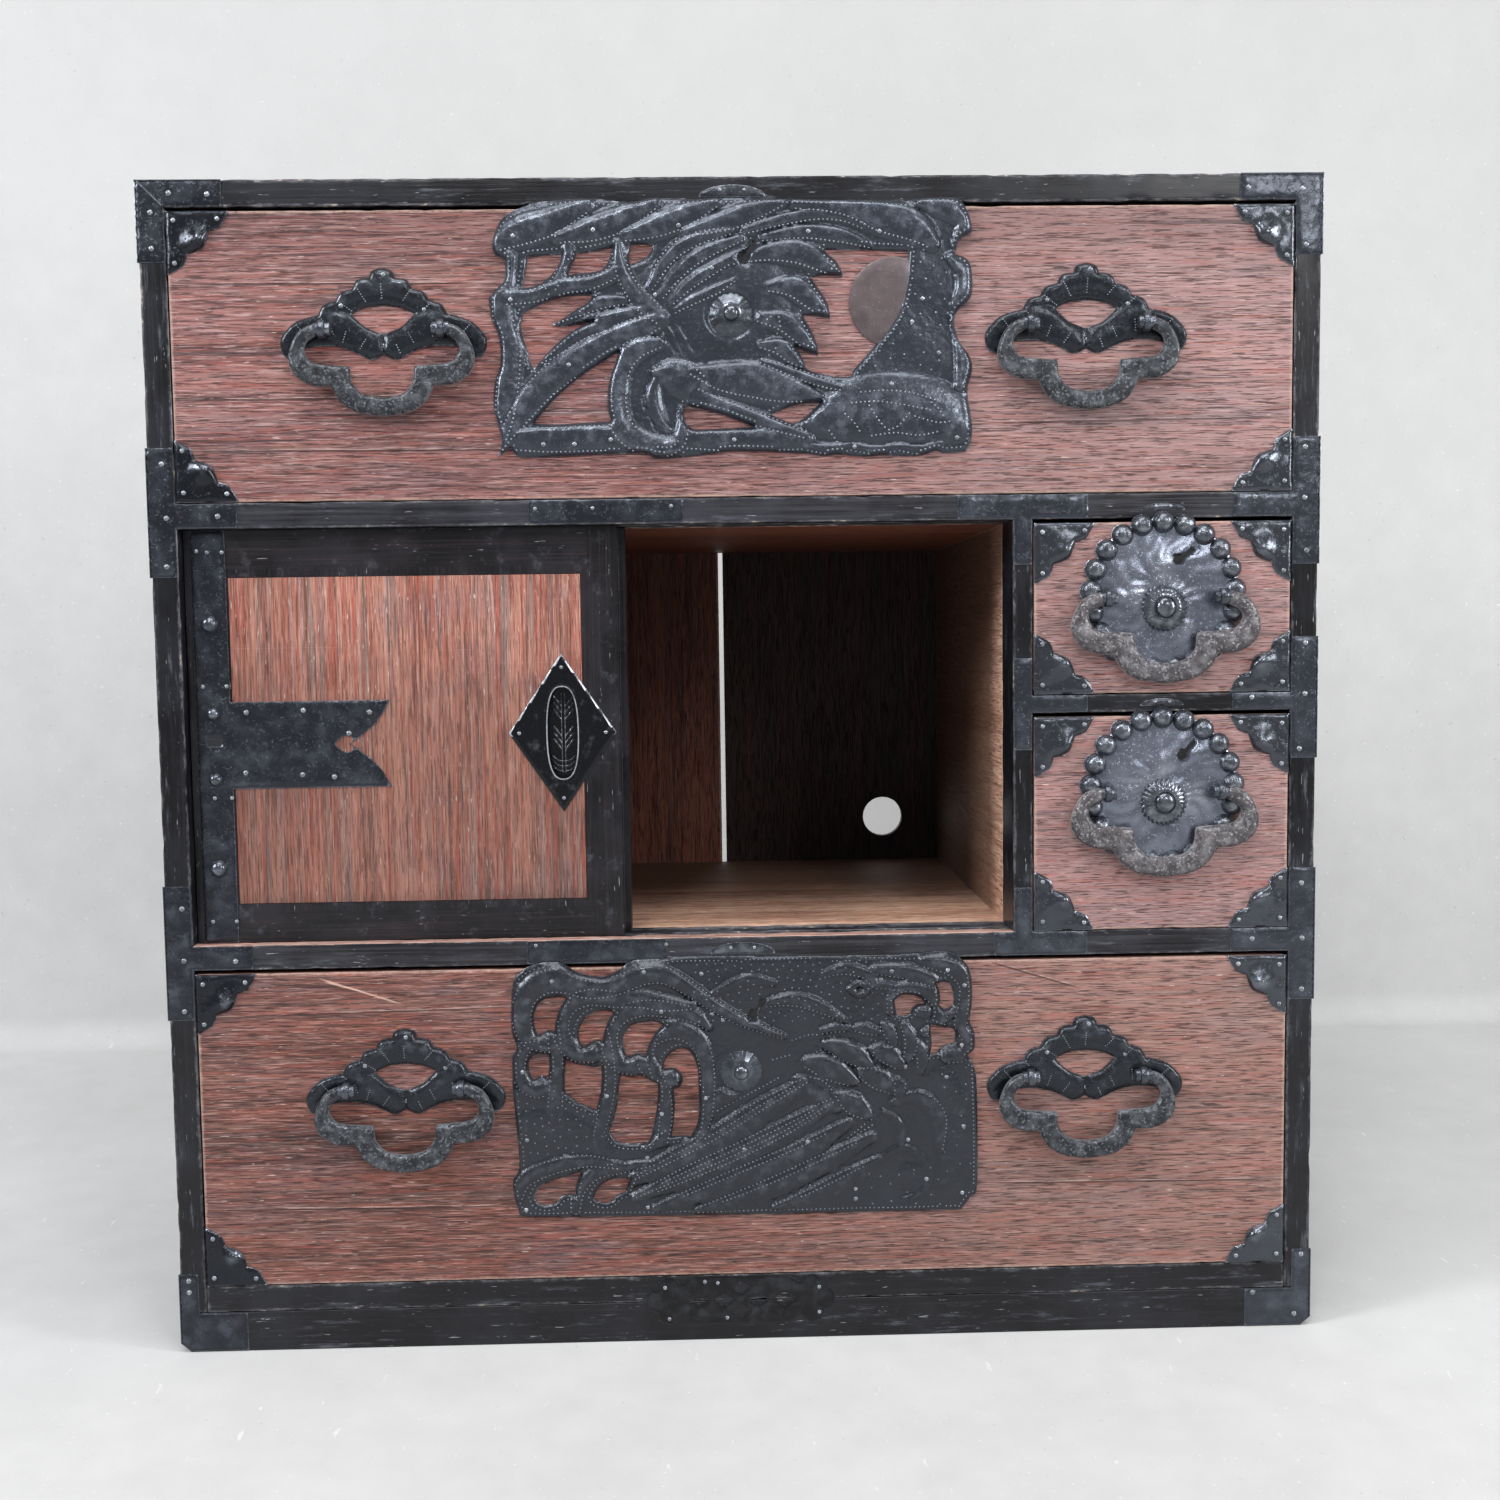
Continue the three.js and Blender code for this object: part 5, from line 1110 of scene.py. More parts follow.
# Where the plates are pierced, raised, scored, dotted and nailed, as flat lists of x and z. A band's row is
# (x, z and half width at each point of its path, how high, which way it leans, its dotted edges, its rows).
PINE_OPENINGS = [
    [66, 834, 97, 833, 129, 832, 128, 818, 125, 800, 120, 786, 113, 775, 104, 764, 95, 754, 87, 745, 86, 741, 78, 740,
     66, 742, 53, 746, 50, 752, 46, 760, 43.5, 763, 52, 759, 61, 756, 60.5, 762, 58, 770, 54, 778, 49, 786, 60,
     785, 70, 783, 69.5, 789, 67, 797, 61, 806, 56, 813.5, 68, 815, 80, 814, 78, 820, 74, 826, 69, 830],
    [-152, 708, -143, 719, -133, 729, -121, 739, -108, 748, -97, 755, -88, 760, -91, 752, -95, 741, -97, 729, -97,
     718, -95, 709, -115, 708.5, -135, 707.5],
    [-158, 789, -148, 794, -135, 799, -120, 801.5, -107, 802, -110, 797, -120, 791, -129, 785, -138, 780, -128, 779,
     -116, 781, -106, 783, -118, 778, -129, 771, -140, 761, -151, 748.5, -154, 753, -156, 763, -159, 773, -160,
     781],
    [-154, 830, -142, 831, -129, 832, -131, 825, -136, 818, -143, 812, -151, 808.5, -159, 807.5, -157, 814, -155, 823],
    [-118, 832, -104, 834, -91, 837, -94, 828, -99, 821, -108, 818.5, -117, 818, -124, 816.5, -122, 823, -119, 828],
    [-77, 838, -69, 838.5, -61, 838, -63, 833, -67, 829, -72, 826, -78, 824, -79, 830],
    [-39, 720, -25, 717, -10, 712.5, 4, 707, 12, 704, -4, 703.5, -20, 703, -33, 703, -39, 708, -40, 714],
    [25, 713, 35, 717, 48, 720.5, 62, 721.5, 56, 716, 49, 710, 42, 706.5, 34, 709],
]
WAVE_OPENINGS = [
    [-158, 270, -152, 273, -144, 274, -138, 273, -142, 267, -145, 260, -147, 252, -147, 247, -152, 248, -157, 246,
     -160, 245, -162, 250, -163, 258, -161, 265],
    [-123, 258, -115, 262, -107, 262.5, -102, 261, -106, 255, -109, 247, -111, 239, -115, 240, -120, 238, -125, 235,
     -128, 239, -129, 245, -127, 252],
    [-88, 251, -80, 253, -71, 253.5, -64, 251, -69, 246, -73, 240, -76, 233, -78, 227, -83, 229, -88, 228, -92, 226,
     -94, 232, -95, 240, -92, 247],
    [-64, 216, -63, 223, -58, 229, -51, 232, -45, 230.5, -40.5, 224, -38, 215, -37.5, 200, -37.5, 185, -39, 173, -44,
     163, -51, 163.5, -59, 163, -57, 175, -56, 188, -56.5, 200, -52, 202, -49.5, 207, -51, 213, -56, 217, -61,
     217],
    [-139, 226, -133, 222, -125, 220, -117, 219, -112, 220, -112, 210, -113, 200, -115, 191, -117, 185, -122, 188,
     -130, 191, -137, 197, -140, 200, -140, 213],
    [-97, 212, -90, 210, -83, 211, -77, 209, -73, 206, -69, 205, -69, 195, -71, 180, -74, 166, -77, 159, -88, 158,
     -98, 159, -103, 162, -107, 168, -103, 178, -100, 190, -99, 201],
    [-165, 228, -159, 230, -152, 229, -152, 220, -153, 211, -158, 213, -164, 210, -167, 216, -167.5, 223],
    [-166, 118, -161, 126, -152, 130, -142, 133, -129, 137, -133, 128, -134, 119, -139, 119.5, -145, 117, -150, 112,
     -158, 111, -164, 113],
    [-120, 117, -116, 124, -109, 129, -100, 131, -91, 131, -94, 125, -95, 120, -101, 118, -106, 113, -112, 112, -118,
     113.5],
    [114.5, 266, 120, 270, 128, 270, 134, 268, 138, 263.5, 132, 263, 128, 260, 126, 256, 121, 254, 116, 255, 115.5,
     260],
    [147, 279, 154, 280, 158, 277, 160, 270, 160, 262, 157, 260, 153, 258.5, 149, 262, 150, 268, 149, 274],
    [142, 247, 147, 246, 152, 244, 158, 244, 161, 241, 161, 232, 155, 231, 150, 229, 147, 224.5, 142, 224, 143, 232,
     142.5, 240],
]
CLOUD_BANDS = [
    ([-74, -5, 8, -62, 8, 12, -42, 22, 12, -21, 33, 11, 0, 37, 11, 22, 32, 11, 43, 22, 12, 62, 8, 12, 74, -6, 8], 1,
      0.1),
    ([-46, 8, 10, -28, 1, 11, -12, -7, 9, -4, -15, 5], 0.95, 0.1),
    ([46, 8, 10, 28, 1, 11, 12, -7, 9, 4, -15, 5], 0.95, -0.1),
]
PINE_BANDS = [
    ([-176, 840, 8, -158, 848, 13, -135, 855, 12, -110, 867, 7], 1, 0.3, "r"),
    ([-130, 843, 5, -105, 849, 11, -82, 857, 11, -60, 868, 6], 0.95, 0.3, "r"),
    ([-82, 844, 5, -58, 851, 10, -36, 859, 10, -14, 869, 5], 0.92, 0.3, "r"),
    ([-38, 846, 4, -12, 853, 9, 10, 860, 9, 36, 869, 4], 0.85, 0.3, "r"),
    ([6, 847, 3, 35, 855, 5, 62, 859, 5, 82, 857, 5, 96, 849, 2], 0.75, 0.4, "r"),
    ([20, 842, 3, 50, 846, 6, 78, 843, 6, 100, 836, 2], 0.8, 0.4, "r"),
    ([45, 867, 5, 80, 865, 9, 108, 857, 14, 132, 849, 13, 147, 837, 6], 1, 0.4, "r"),
    ([138, 867, 5, 158, 863, 9, 171, 853, 8, 164, 837, 4], 0.95),
    ([161, 827, 5, 170, 817, 8, 171, 804, 8, 163, 792, 4], 0.95, -0.5),
    ([162, 782, 4, 168, 768, 7, 170, 750, 8, 167, 732, 5], 0.95, -0.5),
    ([58, 706, 10, 88, 715, 23, 118, 717, 26, 150, 713, 23, 162, 704, 14], 1, 0.15),
    ([52, 690, 2, 68, 687, 4, 85, 690, 2], 0.62),
    ([87, 689, 2, 103, 686, 4, 119, 689, 2], 0.62),
    ([121, 689, 2, 137, 686, 4, 152, 690, 2], 0.62),
    ([-58, 766, 5, -76, 761, 9, -87, 748, 10, -91, 728, 10, -88, 707, 10, -77, 695, 10, -60, 689, 9, -46, 692, 7, -41,
      704, 5, -42, 717, 3], 1, -0.3, "lr"),
    ([-59, 742, 3, -63, 728, 6, -60, 712, 6, -51, 702, 2], 0.75),
    ([-61, 744, 4, -48, 743, 11, -38, 738, 14, -27, 734, 9], 0.95, 0.2, "l"),
    ([-31, 726, 7, -8, 717, 7, 15, 709, 6, 32, 703, 5, 50, 697, 3], 0.85, 0.2, "lr"),
    ([-34, 745, 4, -12, 740, 12, 12, 737, 15, 35, 731, 12, 62, 725, 3], 1, 0.35, "r"),
    ([18, 752, 2, 40, 744, 4, 62, 736, 4, 80, 731, 2], 0.7, 0, "lr"),
    ([-172, 695, 8, -140, 696, 12, -96, 696, 11], 0.9, 0.45, "r"),
    ([-38, 695, 9, 0, 694, 10, 50, 693, 8], 0.85, 0.45, "r"),
    ([-2, 825, 3, 22, 831, 7, 46, 831, 10, 66, 822, 7, 80, 815, 0.5], 0.85, 0.35, "r"),
    ([24, 806, 4, 42, 806, 9, 56, 797, 9, 66, 787, 5, 70, 783, 0.5], 0.85, 0.35, "r"),
    ([16, 784, 4, 33, 781, 8, 46, 772, 8, 56, 762, 5, 61, 757, 0.5], 0.85, 0.35, "r"),
    ([18, 764, 3, 32, 762, 7, 42, 755, 7, 51, 746, 0.5], 0.85, 0.35, "r"),
    ([-64, 806, 3, -50, 828, 6, -32, 840, 6, -4, 847, 3], 0.85, 0.3, "lr"),
    ([-56, 800, 3, -40, 820, 6, -22, 832, 6, 4, 842, 3], 0.82, 0.3, "r"),
    ([-48, 796, 3, -34, 809, 5, -18, 819, 5, 6, 832, 3], 0.8, 0.3, "r"),
    ([-46, 789, 2, -32, 797, 4, -14, 805, 4, 0, 812, 1], 0.65, 0.3, "r"),
    ([-88, 838, 5, -85, 822, 6, -79, 808, 7, -69, 795, 9, -56, 784, 7], 0.88, 0, "lr"),
    ([-84, 797, 4, -100, 796, 6, -120, 789, 5, -138, 780, 0.5], 0.85, -0.3, "l"),
    ([-64, 790, 6, -90, 783, 9, -115, 776, 9, -137, 762, 8, -152, 750, 1], 0.95, -0.35, "l"),
    ([-60, 782, 8, -88, 769, 12, -118, 754, 12, -144, 735, 12, -164, 711, 9, -181, 685, 2], 1, -0.4, "lr"),
    ([-170, 800, 7, -150, 802, 7, -128, 808, 7, -108, 810, 6, -90, 818, 6], 0.88, 0.3, "r"),
    ([-138, 804, 4, -128, 820, 5, -123, 838, 6], 0.75, 0, "lr"),
    ([-168, 830, 6, -169, 814, 6, -172, 800, 8], 0.75),
    ([-173, 806, 8, -173, 785, 9, -168, 765, 9, -170, 740, 10, -173, 715, 9, -176, 695, 4], 0.85, -0.45, "lr"),
    ([-45, 800, 30, -10, 802, 42, 15, 798, 26], 0.42),
]
WAVE_BANDS = [
    ([-153, 237, 7, -167, 243, 8, -172, 258, 9, -168, 275, 10, -154, 286, 11, -138, 287, 12, -118, 281, 10, -98, 283,
      9, -78, 290, 9, -60, 289, 8, -42, 278, 7, -25, 266, 6, 0, 252, 5, 30, 240, 2], 0.95, 0.25, "lr"),
    ([-118, 229, 7, -132, 231, 8, -141, 243, 8, -142, 256, 8, -135, 268, 8, -120, 274, 8, -100, 272, 8, -82, 272, 8,
      -62, 268, 7, -40, 266, 3], 0.92, 0.25, "lr"),
    ([-85, 219, 8, -98, 222, 8, -105, 235, 8, -104, 250, 8, -95, 260, 8, -78, 265, 8, -58, 263, 8, -40, 258, 7, -28,
      248, 3], 0.92, 0.25, "lr"),
    ([-58, 209, 8, -70, 212, 8, -78, 224, 8, -76, 238, 8, -62, 247, 9, -48, 246, 9, -36, 236, 8, -31, 218, 7, -31,
      195, 7, -35, 172, 6, -48, 156, 3], 0.95, 0.25, "lr"),
    ([-148, 262, 4, -147, 240, 6, -146, 215, 6, -148, 188, 7], 0.75, 0, "lr"),
    ([-112, 258, 4, -108, 235, 6, -106, 210, 6, -110, 185, 6, -116, 163, 4], 0.75, 0, "lr"),
    ([-74, 225, 4, -65, 200, 6, -63, 180, 6, -66, 160, 5], 0.75, 0, "lr"),
    ([-150, 206, 6, -161, 202, 7, -172, 208, 7, -175, 220, 6, -171, 234, 6, -158, 239, 3], 0.85, 0, "lr"),
    ([-178, 118, 4, -172, 132, 7, -150, 142, 7, -125, 146, 6, -98, 142, 3], 0.75, 0.3, "lr"),
    ([-134, 106, 4, -131, 123, 6, -118, 136, 6, -96, 140, 5, -72, 144, 2], 0.75, 0.3, "lr"),
    ([5, 207, 5, -25, 190, 9, -50, 170, 9, -78, 155, 4], 0.8, -0.3, "r"),
    ([46, 204, 6, 12, 183, 11, -20, 163, 12, -60, 143, 11, -98, 126, 4], 0.92, -0.4, "r", [-0.45, -0.1]),
    ([66, 188, 5, 32, 168, 10, -5, 150, 11, -45, 133, 10, -88, 116, 4], 0.88, -0.4, "r", [-0.45, -0.1, 0.25]),
    ([78, 171, 5, 42, 150, 10, 2, 133, 11, -35, 119, 9, -72, 107, 4], 0.85, -0.4, "r", [-0.45]),
    ([96, 160, 5, 62, 142, 9, 28, 126, 10, -8, 113, 8, -40, 105, 3], 0.85, -0.4, "r", [-0.4]),
    ([101, 142, 4, 78, 128, 9, 50, 115, 8, 20, 106, 3], 0.75, -0.4, "r", [-0.4]),
    ([40, 205, 6, 54, 197, 12, 68, 184, 6], 0.9, 0.4, "l"),
    ([46, 220, 5, 64, 214, 11, 82, 204, 5], 0.95, 0.5, "r"),
    ([62, 233, 5, 80, 226, 10, 94, 217, 5], 0.95, 0.5, "r"),
    ([98, 228, 5, 108, 225, 9, 118, 216, 5], 0.9, 0.4, "lr"),
    ([88, 211, 5, 100, 206, 10, 113, 197, 5], 0.9, 0.4, "lr"),
    ([72, 192, 5, 82, 186, 10, 93, 177, 5], 0.9, 0.4, "lr"),
    ([113, 205, 3, 118, 200, 6, 116, 192, 3], 0.75, 0, "lr"),
    ([122, 247, 4, 127, 235, 6, 124, 221, 4], 0.8, 0.3, "lr"),
    ([105, 248, 3, 110, 243, 6, 113, 234, 4], 0.8, 0.3, "lr"),
    ([84, 246, 3, 92, 245, 5, 101, 242, 3], 0.75, 0.3, "lr"),
    ([58, 244, 3, 68, 246, 4, 78, 246, 3], 0.7, 0.3, "lr"),
    ([132, 232, 4, 136, 222, 6, 134, 211, 3], 0.75, 0.3, "r"),
    ([12, 266, 3, 35, 269, 6, 55, 264, 6, 77, 251, 2], 0.82, 0.4, "r"),
    ([-24, 275, 3, 0, 284, 6, 22, 282, 3], 0.7, 0.4),
    ([60, 288, 3, 75, 292, 5, 92, 288, 5, 100, 278, 3], 0.7, 0.3, "r"),
    ([94, 279, 3, 106, 279, 3.5, 118, 277, 2.5], 0.75, 0.3, "r"),
    ([80, 276, 3, 87, 281, 3, 94, 276, 3, 87, 271, 3, 80, 276, 3], 0.8),
    ([112, 258, 4, 114, 272, 6, 128, 276, 6, 142, 271, 7, 150, 260, 6, 147, 247, 6, 137, 241, 4], 0.9, 0.3, "lr"),
    ([98, 291, 4, 122, 289, 7, 140, 283, 7, 152, 272, 4], 0.82, 0.3, "r"),
    ([138, 297, 6, 158, 292, 8, 170, 279, 8, 169, 262, 7, 165, 247, 6, 171, 235, 6, 168, 224, 6, 154, 222, 6], 0.9,
      0.25, "lr"),
    ([132, 259, 6, 137, 257, 6], 0.8),
    ([152, 257, 5, 156, 255, 5], 0.8),
    ([104, 180, 2, 117, 170, 3, 118, 150, 2], 0.62, 0.5),
    ([112, 186, 3, 132, 190, 7, 147, 175, 8, 148, 148, 3], 0.6, 0.5, "l"),
    ([102, 142, 2, 120, 151, 3, 138, 138, 3, 136, 118, 3, 120, 110, 2], 0.5, 0.4),
    ([125, 128, 12, 126, 128, 12], 0.42),
    ([150, 205, 10, 160, 180, 13, 162, 150, 13, 152, 125, 8], 0.4),
    ([-170, 175, 12, -140, 168, 16, -110, 150, 10], 0.4),
]
CLOUD_ROWS = [[0, 33, 0, 22], [-18, 31, -12, 21], [22, 29, 15, 21], [-32, 21, -22, 14], [39, 22, 30, 14], [-38, 3,
    -36, -4], [36, 3, 37, -5], [-17, -13, -12, -6], [19, -2, 23, -10], [10, -11, 13, -18], [-27, -1,
    -30, -9], [-52, 14, -44, 8], [54, 13, 46, 8], [-63, 4, -58, -2], [64, 3, 58, -3]]
PINE_SCORES = [[-57, 779, -45, 759], [-50, 780, -39, 758], [-43, 780, -32, 760], [-64, 742, -70, 724, -60, 701]]
PINE_ROWS = [[92, 728, 110, 729, 130, 727, 150, 721], [85, 720, 105, 721, 125, 718, 145, 714], [80, 712, 88, 704,
    92, 697], [98, 718, 106, 706, 112, 700], [128, 712, 120, 703, 112, 700], [126, 712, 138, 708, 150,
    705, 160, 706], [150, 730, 158, 722, 162, 714], [142, 722, 150, 715, 154, 709], [68, 700, 74, 692,
    78, 686], [100, 696, 118, 698, 136, 696, 152, 699], [52, 686, 68, 683.5, 86, 686], [88, 685, 103,
    682.5, 119, 685], [121, 685, 137, 682.5, 152, 686], [20, 780, 31, 788], [19, 765, 33, 774], [19,
    752, 30, 762], [30, 790, 33, 774], [-60, 746, -50, 752, -36, 752, -25, 746], [8, 842, 60, 840, 126,
    836], [-62, 686, -50, 685, -42, 690], [-60, 689, -50, 689, -44, 694]]
WAVE_SCORES = [[40, 211, 55, 203, 69, 194], [58, 229, 72, 221, 86, 211], [70, 239, 84, 236, 97, 230], [100, 217,
    112, 211]]
WAVE_ROWS = [[-60, 255, -45, 252], [42, 222, 58, 229], [35, 237, 50, 241, 68, 239], [86, 211, 86, 200], [97, 230,
    99, 218], [96, 236, 108, 233], [-26, 182, 0, 195, 25, 208], [-20, 176, 5, 189, 30, 203], [20, 222,
    35, 226], [0, 300.5, 40, 300.5, 80, 300.5, 120, 299], [176, 250, 174, 215, 175, 170, 175, 120],
    [60, 146, 75, 156, 98, 170], [64, 150, 78, 160, 98, 176]]
PINE_NAILS = [-164, 844, -105, 848, -42, 851, 54, 846, 107, 846, 164, 847, -167, 798, -60, 801, 139, 797, 151, 757,
    -125, 750, -95, 695, -145, 692, -122, 692, -18, 820, 115, 734, 164, 694, -3, 694, 87, 688, 131,
    780]
WAVE_NAILS = [-3, 153, 46, 158, 124, 157, 167, 167, 83, 119, 83, 111, -78, 108, -78, 147, -172, 108, -170, 163,
    -148, 287, -78, 293, -65, 262, -26, 259, -18, 254, -108, 197, -172, 217, 112, 290, 104, 283, 155,
    290, 168, 278, 166, 231, 154, 206, 166, 114, 138, 126, -66, 182, -32, 194, 122, 215, -34, 290]
CLOUD_BANDS, PINE_BANDS, WAVE_BANDS = (
    [bundle(*row) for row in bands] for bands in (CLOUD_BANDS, PINE_BANDS, WAVE_BANDS))

for drawer, hinge, spark in (("upper_drawer", 777, "punched"), ("lower_drawer", 206, "low_punched")):
    for side in ("left", "right"):
        node = f"{drawer}_handle_plate_{side}"
        loops = [outline_curve(l, 1.6) for l in node_loops(node, PROUD - 2.5) if size(l) > 100]
        low, high = box_of(node)
        middle = np.array([(low[0] + high[0]) / 2, hinge])

        def cloud(p, d):
            full = 3.0 + 2.0 * np.clip((p[:, 1] - hinge) / 15, 0, 1)
            lift = raised(p - middle, CLOUD_BANDS)
            fold = scored(p - middle, [[0, -2, 0, -20]], 1.2, 1.2)
            return 0.9 + full * rounded(d, 5.5) * (0.42 + 0.58 * lift) - fold

        rows = np.concatenate([spaced(pairs(r), 1.9) for r in CLOUD_ROWS]) + middle
        chased(node, loops, cloud, CLOUD_BANDS, rows, drawer, "cloud_iron", 1.7, 0, 0.62, 1.6, spark)
        eyes(node, middle[0], hinge, drawer)
        heads = pairs([2, 40, -30, 18, 31, 15, 0, -11]) + middle
        rise = cloud(heads, edge_distance(heads, segments_of(loops)))
        nails(node + "_nails", heads, PROUD - rise + 0.3, 2.0, drawer)
        bail(f"{drawer}_bail_{side}", "bail_iron", 2.1, 2.2)

for drawer, hinge, cone in (("small_upper_drawer", 572.5, 0.0), ("small_lower_drawer", 424.5, 1.6)):
    node = drawer + "_lock_plate"
    found = node_loops(node, PROUD - 2.5)
    keyhole = next(l for l in found if 60 < size(l) < 70)
    low, high = box_of(node)
    centre = ((low[0] + high[0]) / 2, (low[2] + high[2]) / 2)
    button = (321.0, hinge - 7.5)

    def hammered(p, d):
        r = np.hypot(p[:, 0] - centre[0], p[:, 1] - centre[1])
        turn = np.arctan2(p[:, 1] - centre[1], p[:, 0] - centre[0])
        swirl = np.sin(turn * 3 + r / 7) * 0.5 + np.sin(turn * 17 + np.sin(r / 6) * 2) * 0.2 * np.clip(r / 20, 0, 1)
        dish = 2.4 * np.exp(-(r / 46) ** 4)
        facets = np.abs(np.sin(p[:, 0] / 7.3 + p[:, 1] / 15)) * np.abs(np.sin(p[:, 1] / 6.1 - p[:, 0] / 21))
        return 1.1 + 0.8 * rounded(d, 5) + swirl + dish + 0.75 * facets * np.clip(1.3 - r / 60, 0, 1)

    sheet(node + "_relief", [outline_curve(l, 2.0) for l in found if size(l) > 1000 or 60 < size(l) < 70], hammered,
          "bright_iron", PROUD, step=2.0, thin=0.8, **on(drawer, "cast_iron", node))
    painted_keyhole_shade(node, 12.5, keyhole, on(drawer, "cast_iron"))
    turns = [math.radians(90 + (k - 10) * 360 / 21) for k in range(21)]
    ring = [(centre[0] + 55.2 * math.cos(turn), centre[1] + 55.2 * math.sin(turn)) for turn in turns]
    studs(node + "_beads", heads_at(ring, PROUD - 2.2, 8.4), bead_heads, "bead_iron", on(drawer, "cast_iron"))
    profile = [(17, 2.5), (17.2, 6.2), (16.2, 7.0)]
    profile += [(r, out + cone) for r, out in ((13.8, 6.8), (11.8, 7.6), (9.4, 8.6), (8.4, 8.4), (7.8, 7.2),
                                               (7.4, 7.2))]
    lathe(node + "_boss", profile, button, PROUD, "boss_iron", sides=168, flutes=28, depth=0.05,
          **on(drawer, "cast_iron"))
    eyes(node, button[0], hinge, drawer)
    bail(drawer + "_bail", "brown_bail", 2.9, 4.6)
    push_button(drawer, [(4.3, -8.0), (4.3, 9.6), (6.4, 10.0), (6.8, 11.2), (5.6, 12.4), (2.4, 13.1)], button)

for drawer, button, full, openings, bands, scores, rows, heads, strewn, finish, spark, dot in (
        ("upper_drawer", (-4.16, 786.05), 6.2, PINE_OPENINGS, PINE_BANDS, PINE_SCORES, PINE_ROWS, PINE_NAILS,
         [(3, (102, 742), (158, 836), 8.5)], "plate_iron", "punched", 0.85),
        ("lower_drawer", (-4.52, 214.24), 5.6, WAVE_OPENINGS, WAVE_BANDS, WAVE_SCORES, WAVE_ROWS, WAVE_NAILS,
         [(4, (-40, 252), (108, 299), 5.0), (5, (-176, 150), (-118, 200), 5.5), (6, (150, 130), (174, 215), 8.0),
          (7, (92, 104), (150, 135), 9.0)], "low_plate_iron", "low_punched", 0.72)):
    node = drawer + "_lock_plate"
    found = node_loops(node, PROUD - 3.0)
    loops = [outline_curve(l, 1.7) for l in [found[0], found[-1]] + [pairs(o) for o in openings]]
    painted_keyhole_shade(node, 13.0, found[-1], wrought(drawer))

    def relief(p, d):
        swell = 0.32 + 0.08 * np.sin(p[:, 0] / 11) * np.sin(p[:, 1] / 9)
        rise = 0.8 + full * rounded(d, 5.5) * (swell + (1 - swell) * raised(p, bands)) - scored(p, scores, 1.0, 0.9)
        flat = np.clip((np.hypot(*(p - button).T) - 17) / 8, 0, 1)
        return np.minimum(rise, 2.6 + 5.0 * flat)

    dots = np.concatenate([dotted(bands, rows)] + [scattered(*field) for field in strewn])
    chased(node, loops, relief, bands, dots, drawer, finish, dot=dot, spark=spark)
    heads = pairs(heads)
    rise = relief(heads, edge_distance(heads, segments_of(loops)))
    nails(node + "_nails", heads, PROUD - rise + 0.2, 1.9, drawer)
    lathe(node + "_boss", [(16, 0.5), (15.8, 2.8), (14.2, 3.6), (12.2, 4.6), (9.4, 6.0), (7.4, 6.8), (5.6, 7.0)],
          button, PROUD, "boss_iron", sides=96, flutes=20, depth=0.025, **wrought(drawer))
    push_button(drawer, [(4.2, -8.0), (4.3, 8.4), (5.2, 8.9), (5.6, 10.0), (5.0, 11.6), (3.6, 12.7), (1.2, 13.2)],
                button)

lathe("bird_eye", [(4.6, 0.8), (4.6, 4.4), (3.9, 5.0), (2.6, 5.1), (2.2, 4.5), (1.2, 4.4), (0.9, 5.0), (0.4, 5.2)],
      (-40, 734), PROUD, "copper", sides=28, **wrought("upper_drawer"))
lathe("moon_disc", [(33.0, 0.1), (33.0, 1.2), (32.0, 1.6), (20.0, 1.7)], (117, 795), PROUD, "moon", sides=72,
      **wrought("upper_drawer"))


# Doors

STUD_HOLE, SMALL_STUD_HOLE = 127, 75        # in square millimetres: the strap's relief runs on over them

def pull(door, face, centre):
    """A lozenge plate with a bevel polished by rubbing, painted brighter on its upper half as a highlight, and an
    oval cup that holds an engraved arrow feather.
    """
    lozenge = node_loops(door + "_pull", face - 1.2)[0]
    turns = np.radians(np.arange(0, 360, 4))
    cup = np.stack([middle + half * np.sign(way) * np.abs(way) ** 0.77 for middle, half, way in (
        (centre[0], 11.5, np.cos(turns)), (centre[1], 35, np.sin(turns)))], 1)
    line, border = segments_of([grown(cup, 2.4)]), segments_of([lozenge])
    lines = [[(-1.3, -31), (-1.3, 31)], [(1.3, -31), (1.3, 31)]]
    for z in (24, 19, 14, 1, -4, -9):
        lines += [[(-1.3, z - 4), (-7.5, z + 4)], [(1.3, z - 4), (7.5, z + 4)]]
    for z in (-21, -25, -29):
        lines.append([(-8.5, z + 3), (-5, z), (0, z - 1), (5, z), (8.5, z + 3)])
    cut = stretches(curve_through(np.array(l, float) + centre, 1.5) for l in lines)

    def rubbed_and_sheen(p, d):
        # The upper half of the bevel gets a painted highlight.
        upper = np.where(p[:, 1] > centre[1] - 3, 1.0, 0.45)
        ring = np.maximum(0.5 * line_mark(p, line, 0.5), 0.45 * (d < 0.3))
        return np.maximum((edge_distance(p, border) < 1.5) * upper, ring)

    sheet(door + "_pull_plate", [outline_curve(lozenge, 1.5, corner=20), cup],
          lambda p, d: 0.4 + 0.8 * np.clip(d / 1.6, 0, 1) + 0.25 * line_mark(p, line, 0.6), "pull_iron", face,
          step=1.4, thin=0.4, wear=rubbed_and_sheen, brink=0.0, **wrought(door, door + "_pull"))
    sheet(door + "_pull_wall", [grown(cup, 0.9), cup], pillow(9.1), "pull_iron", face + 8.0, step=3, thin=9.1,
          **wrought(door))
    sheet(door + "_pull_feather", [grown(cup, 0.5)], lambda p, d: 1.0 + 0.5 * line_mark(p, cut, 0.55), "pull_iron",
          face + 8.0, step=0.75, thin=0.9, wear=lambda p, d: 0.98 * line_mark(p, cut, 0.62), brink=0.4,
          **wrought(door))
    nails(door + "_pull_nails", pairs([0, 50, 0, -50, -33, 0, 33, 0]) + centre, face - 1.3, 1.6, door)


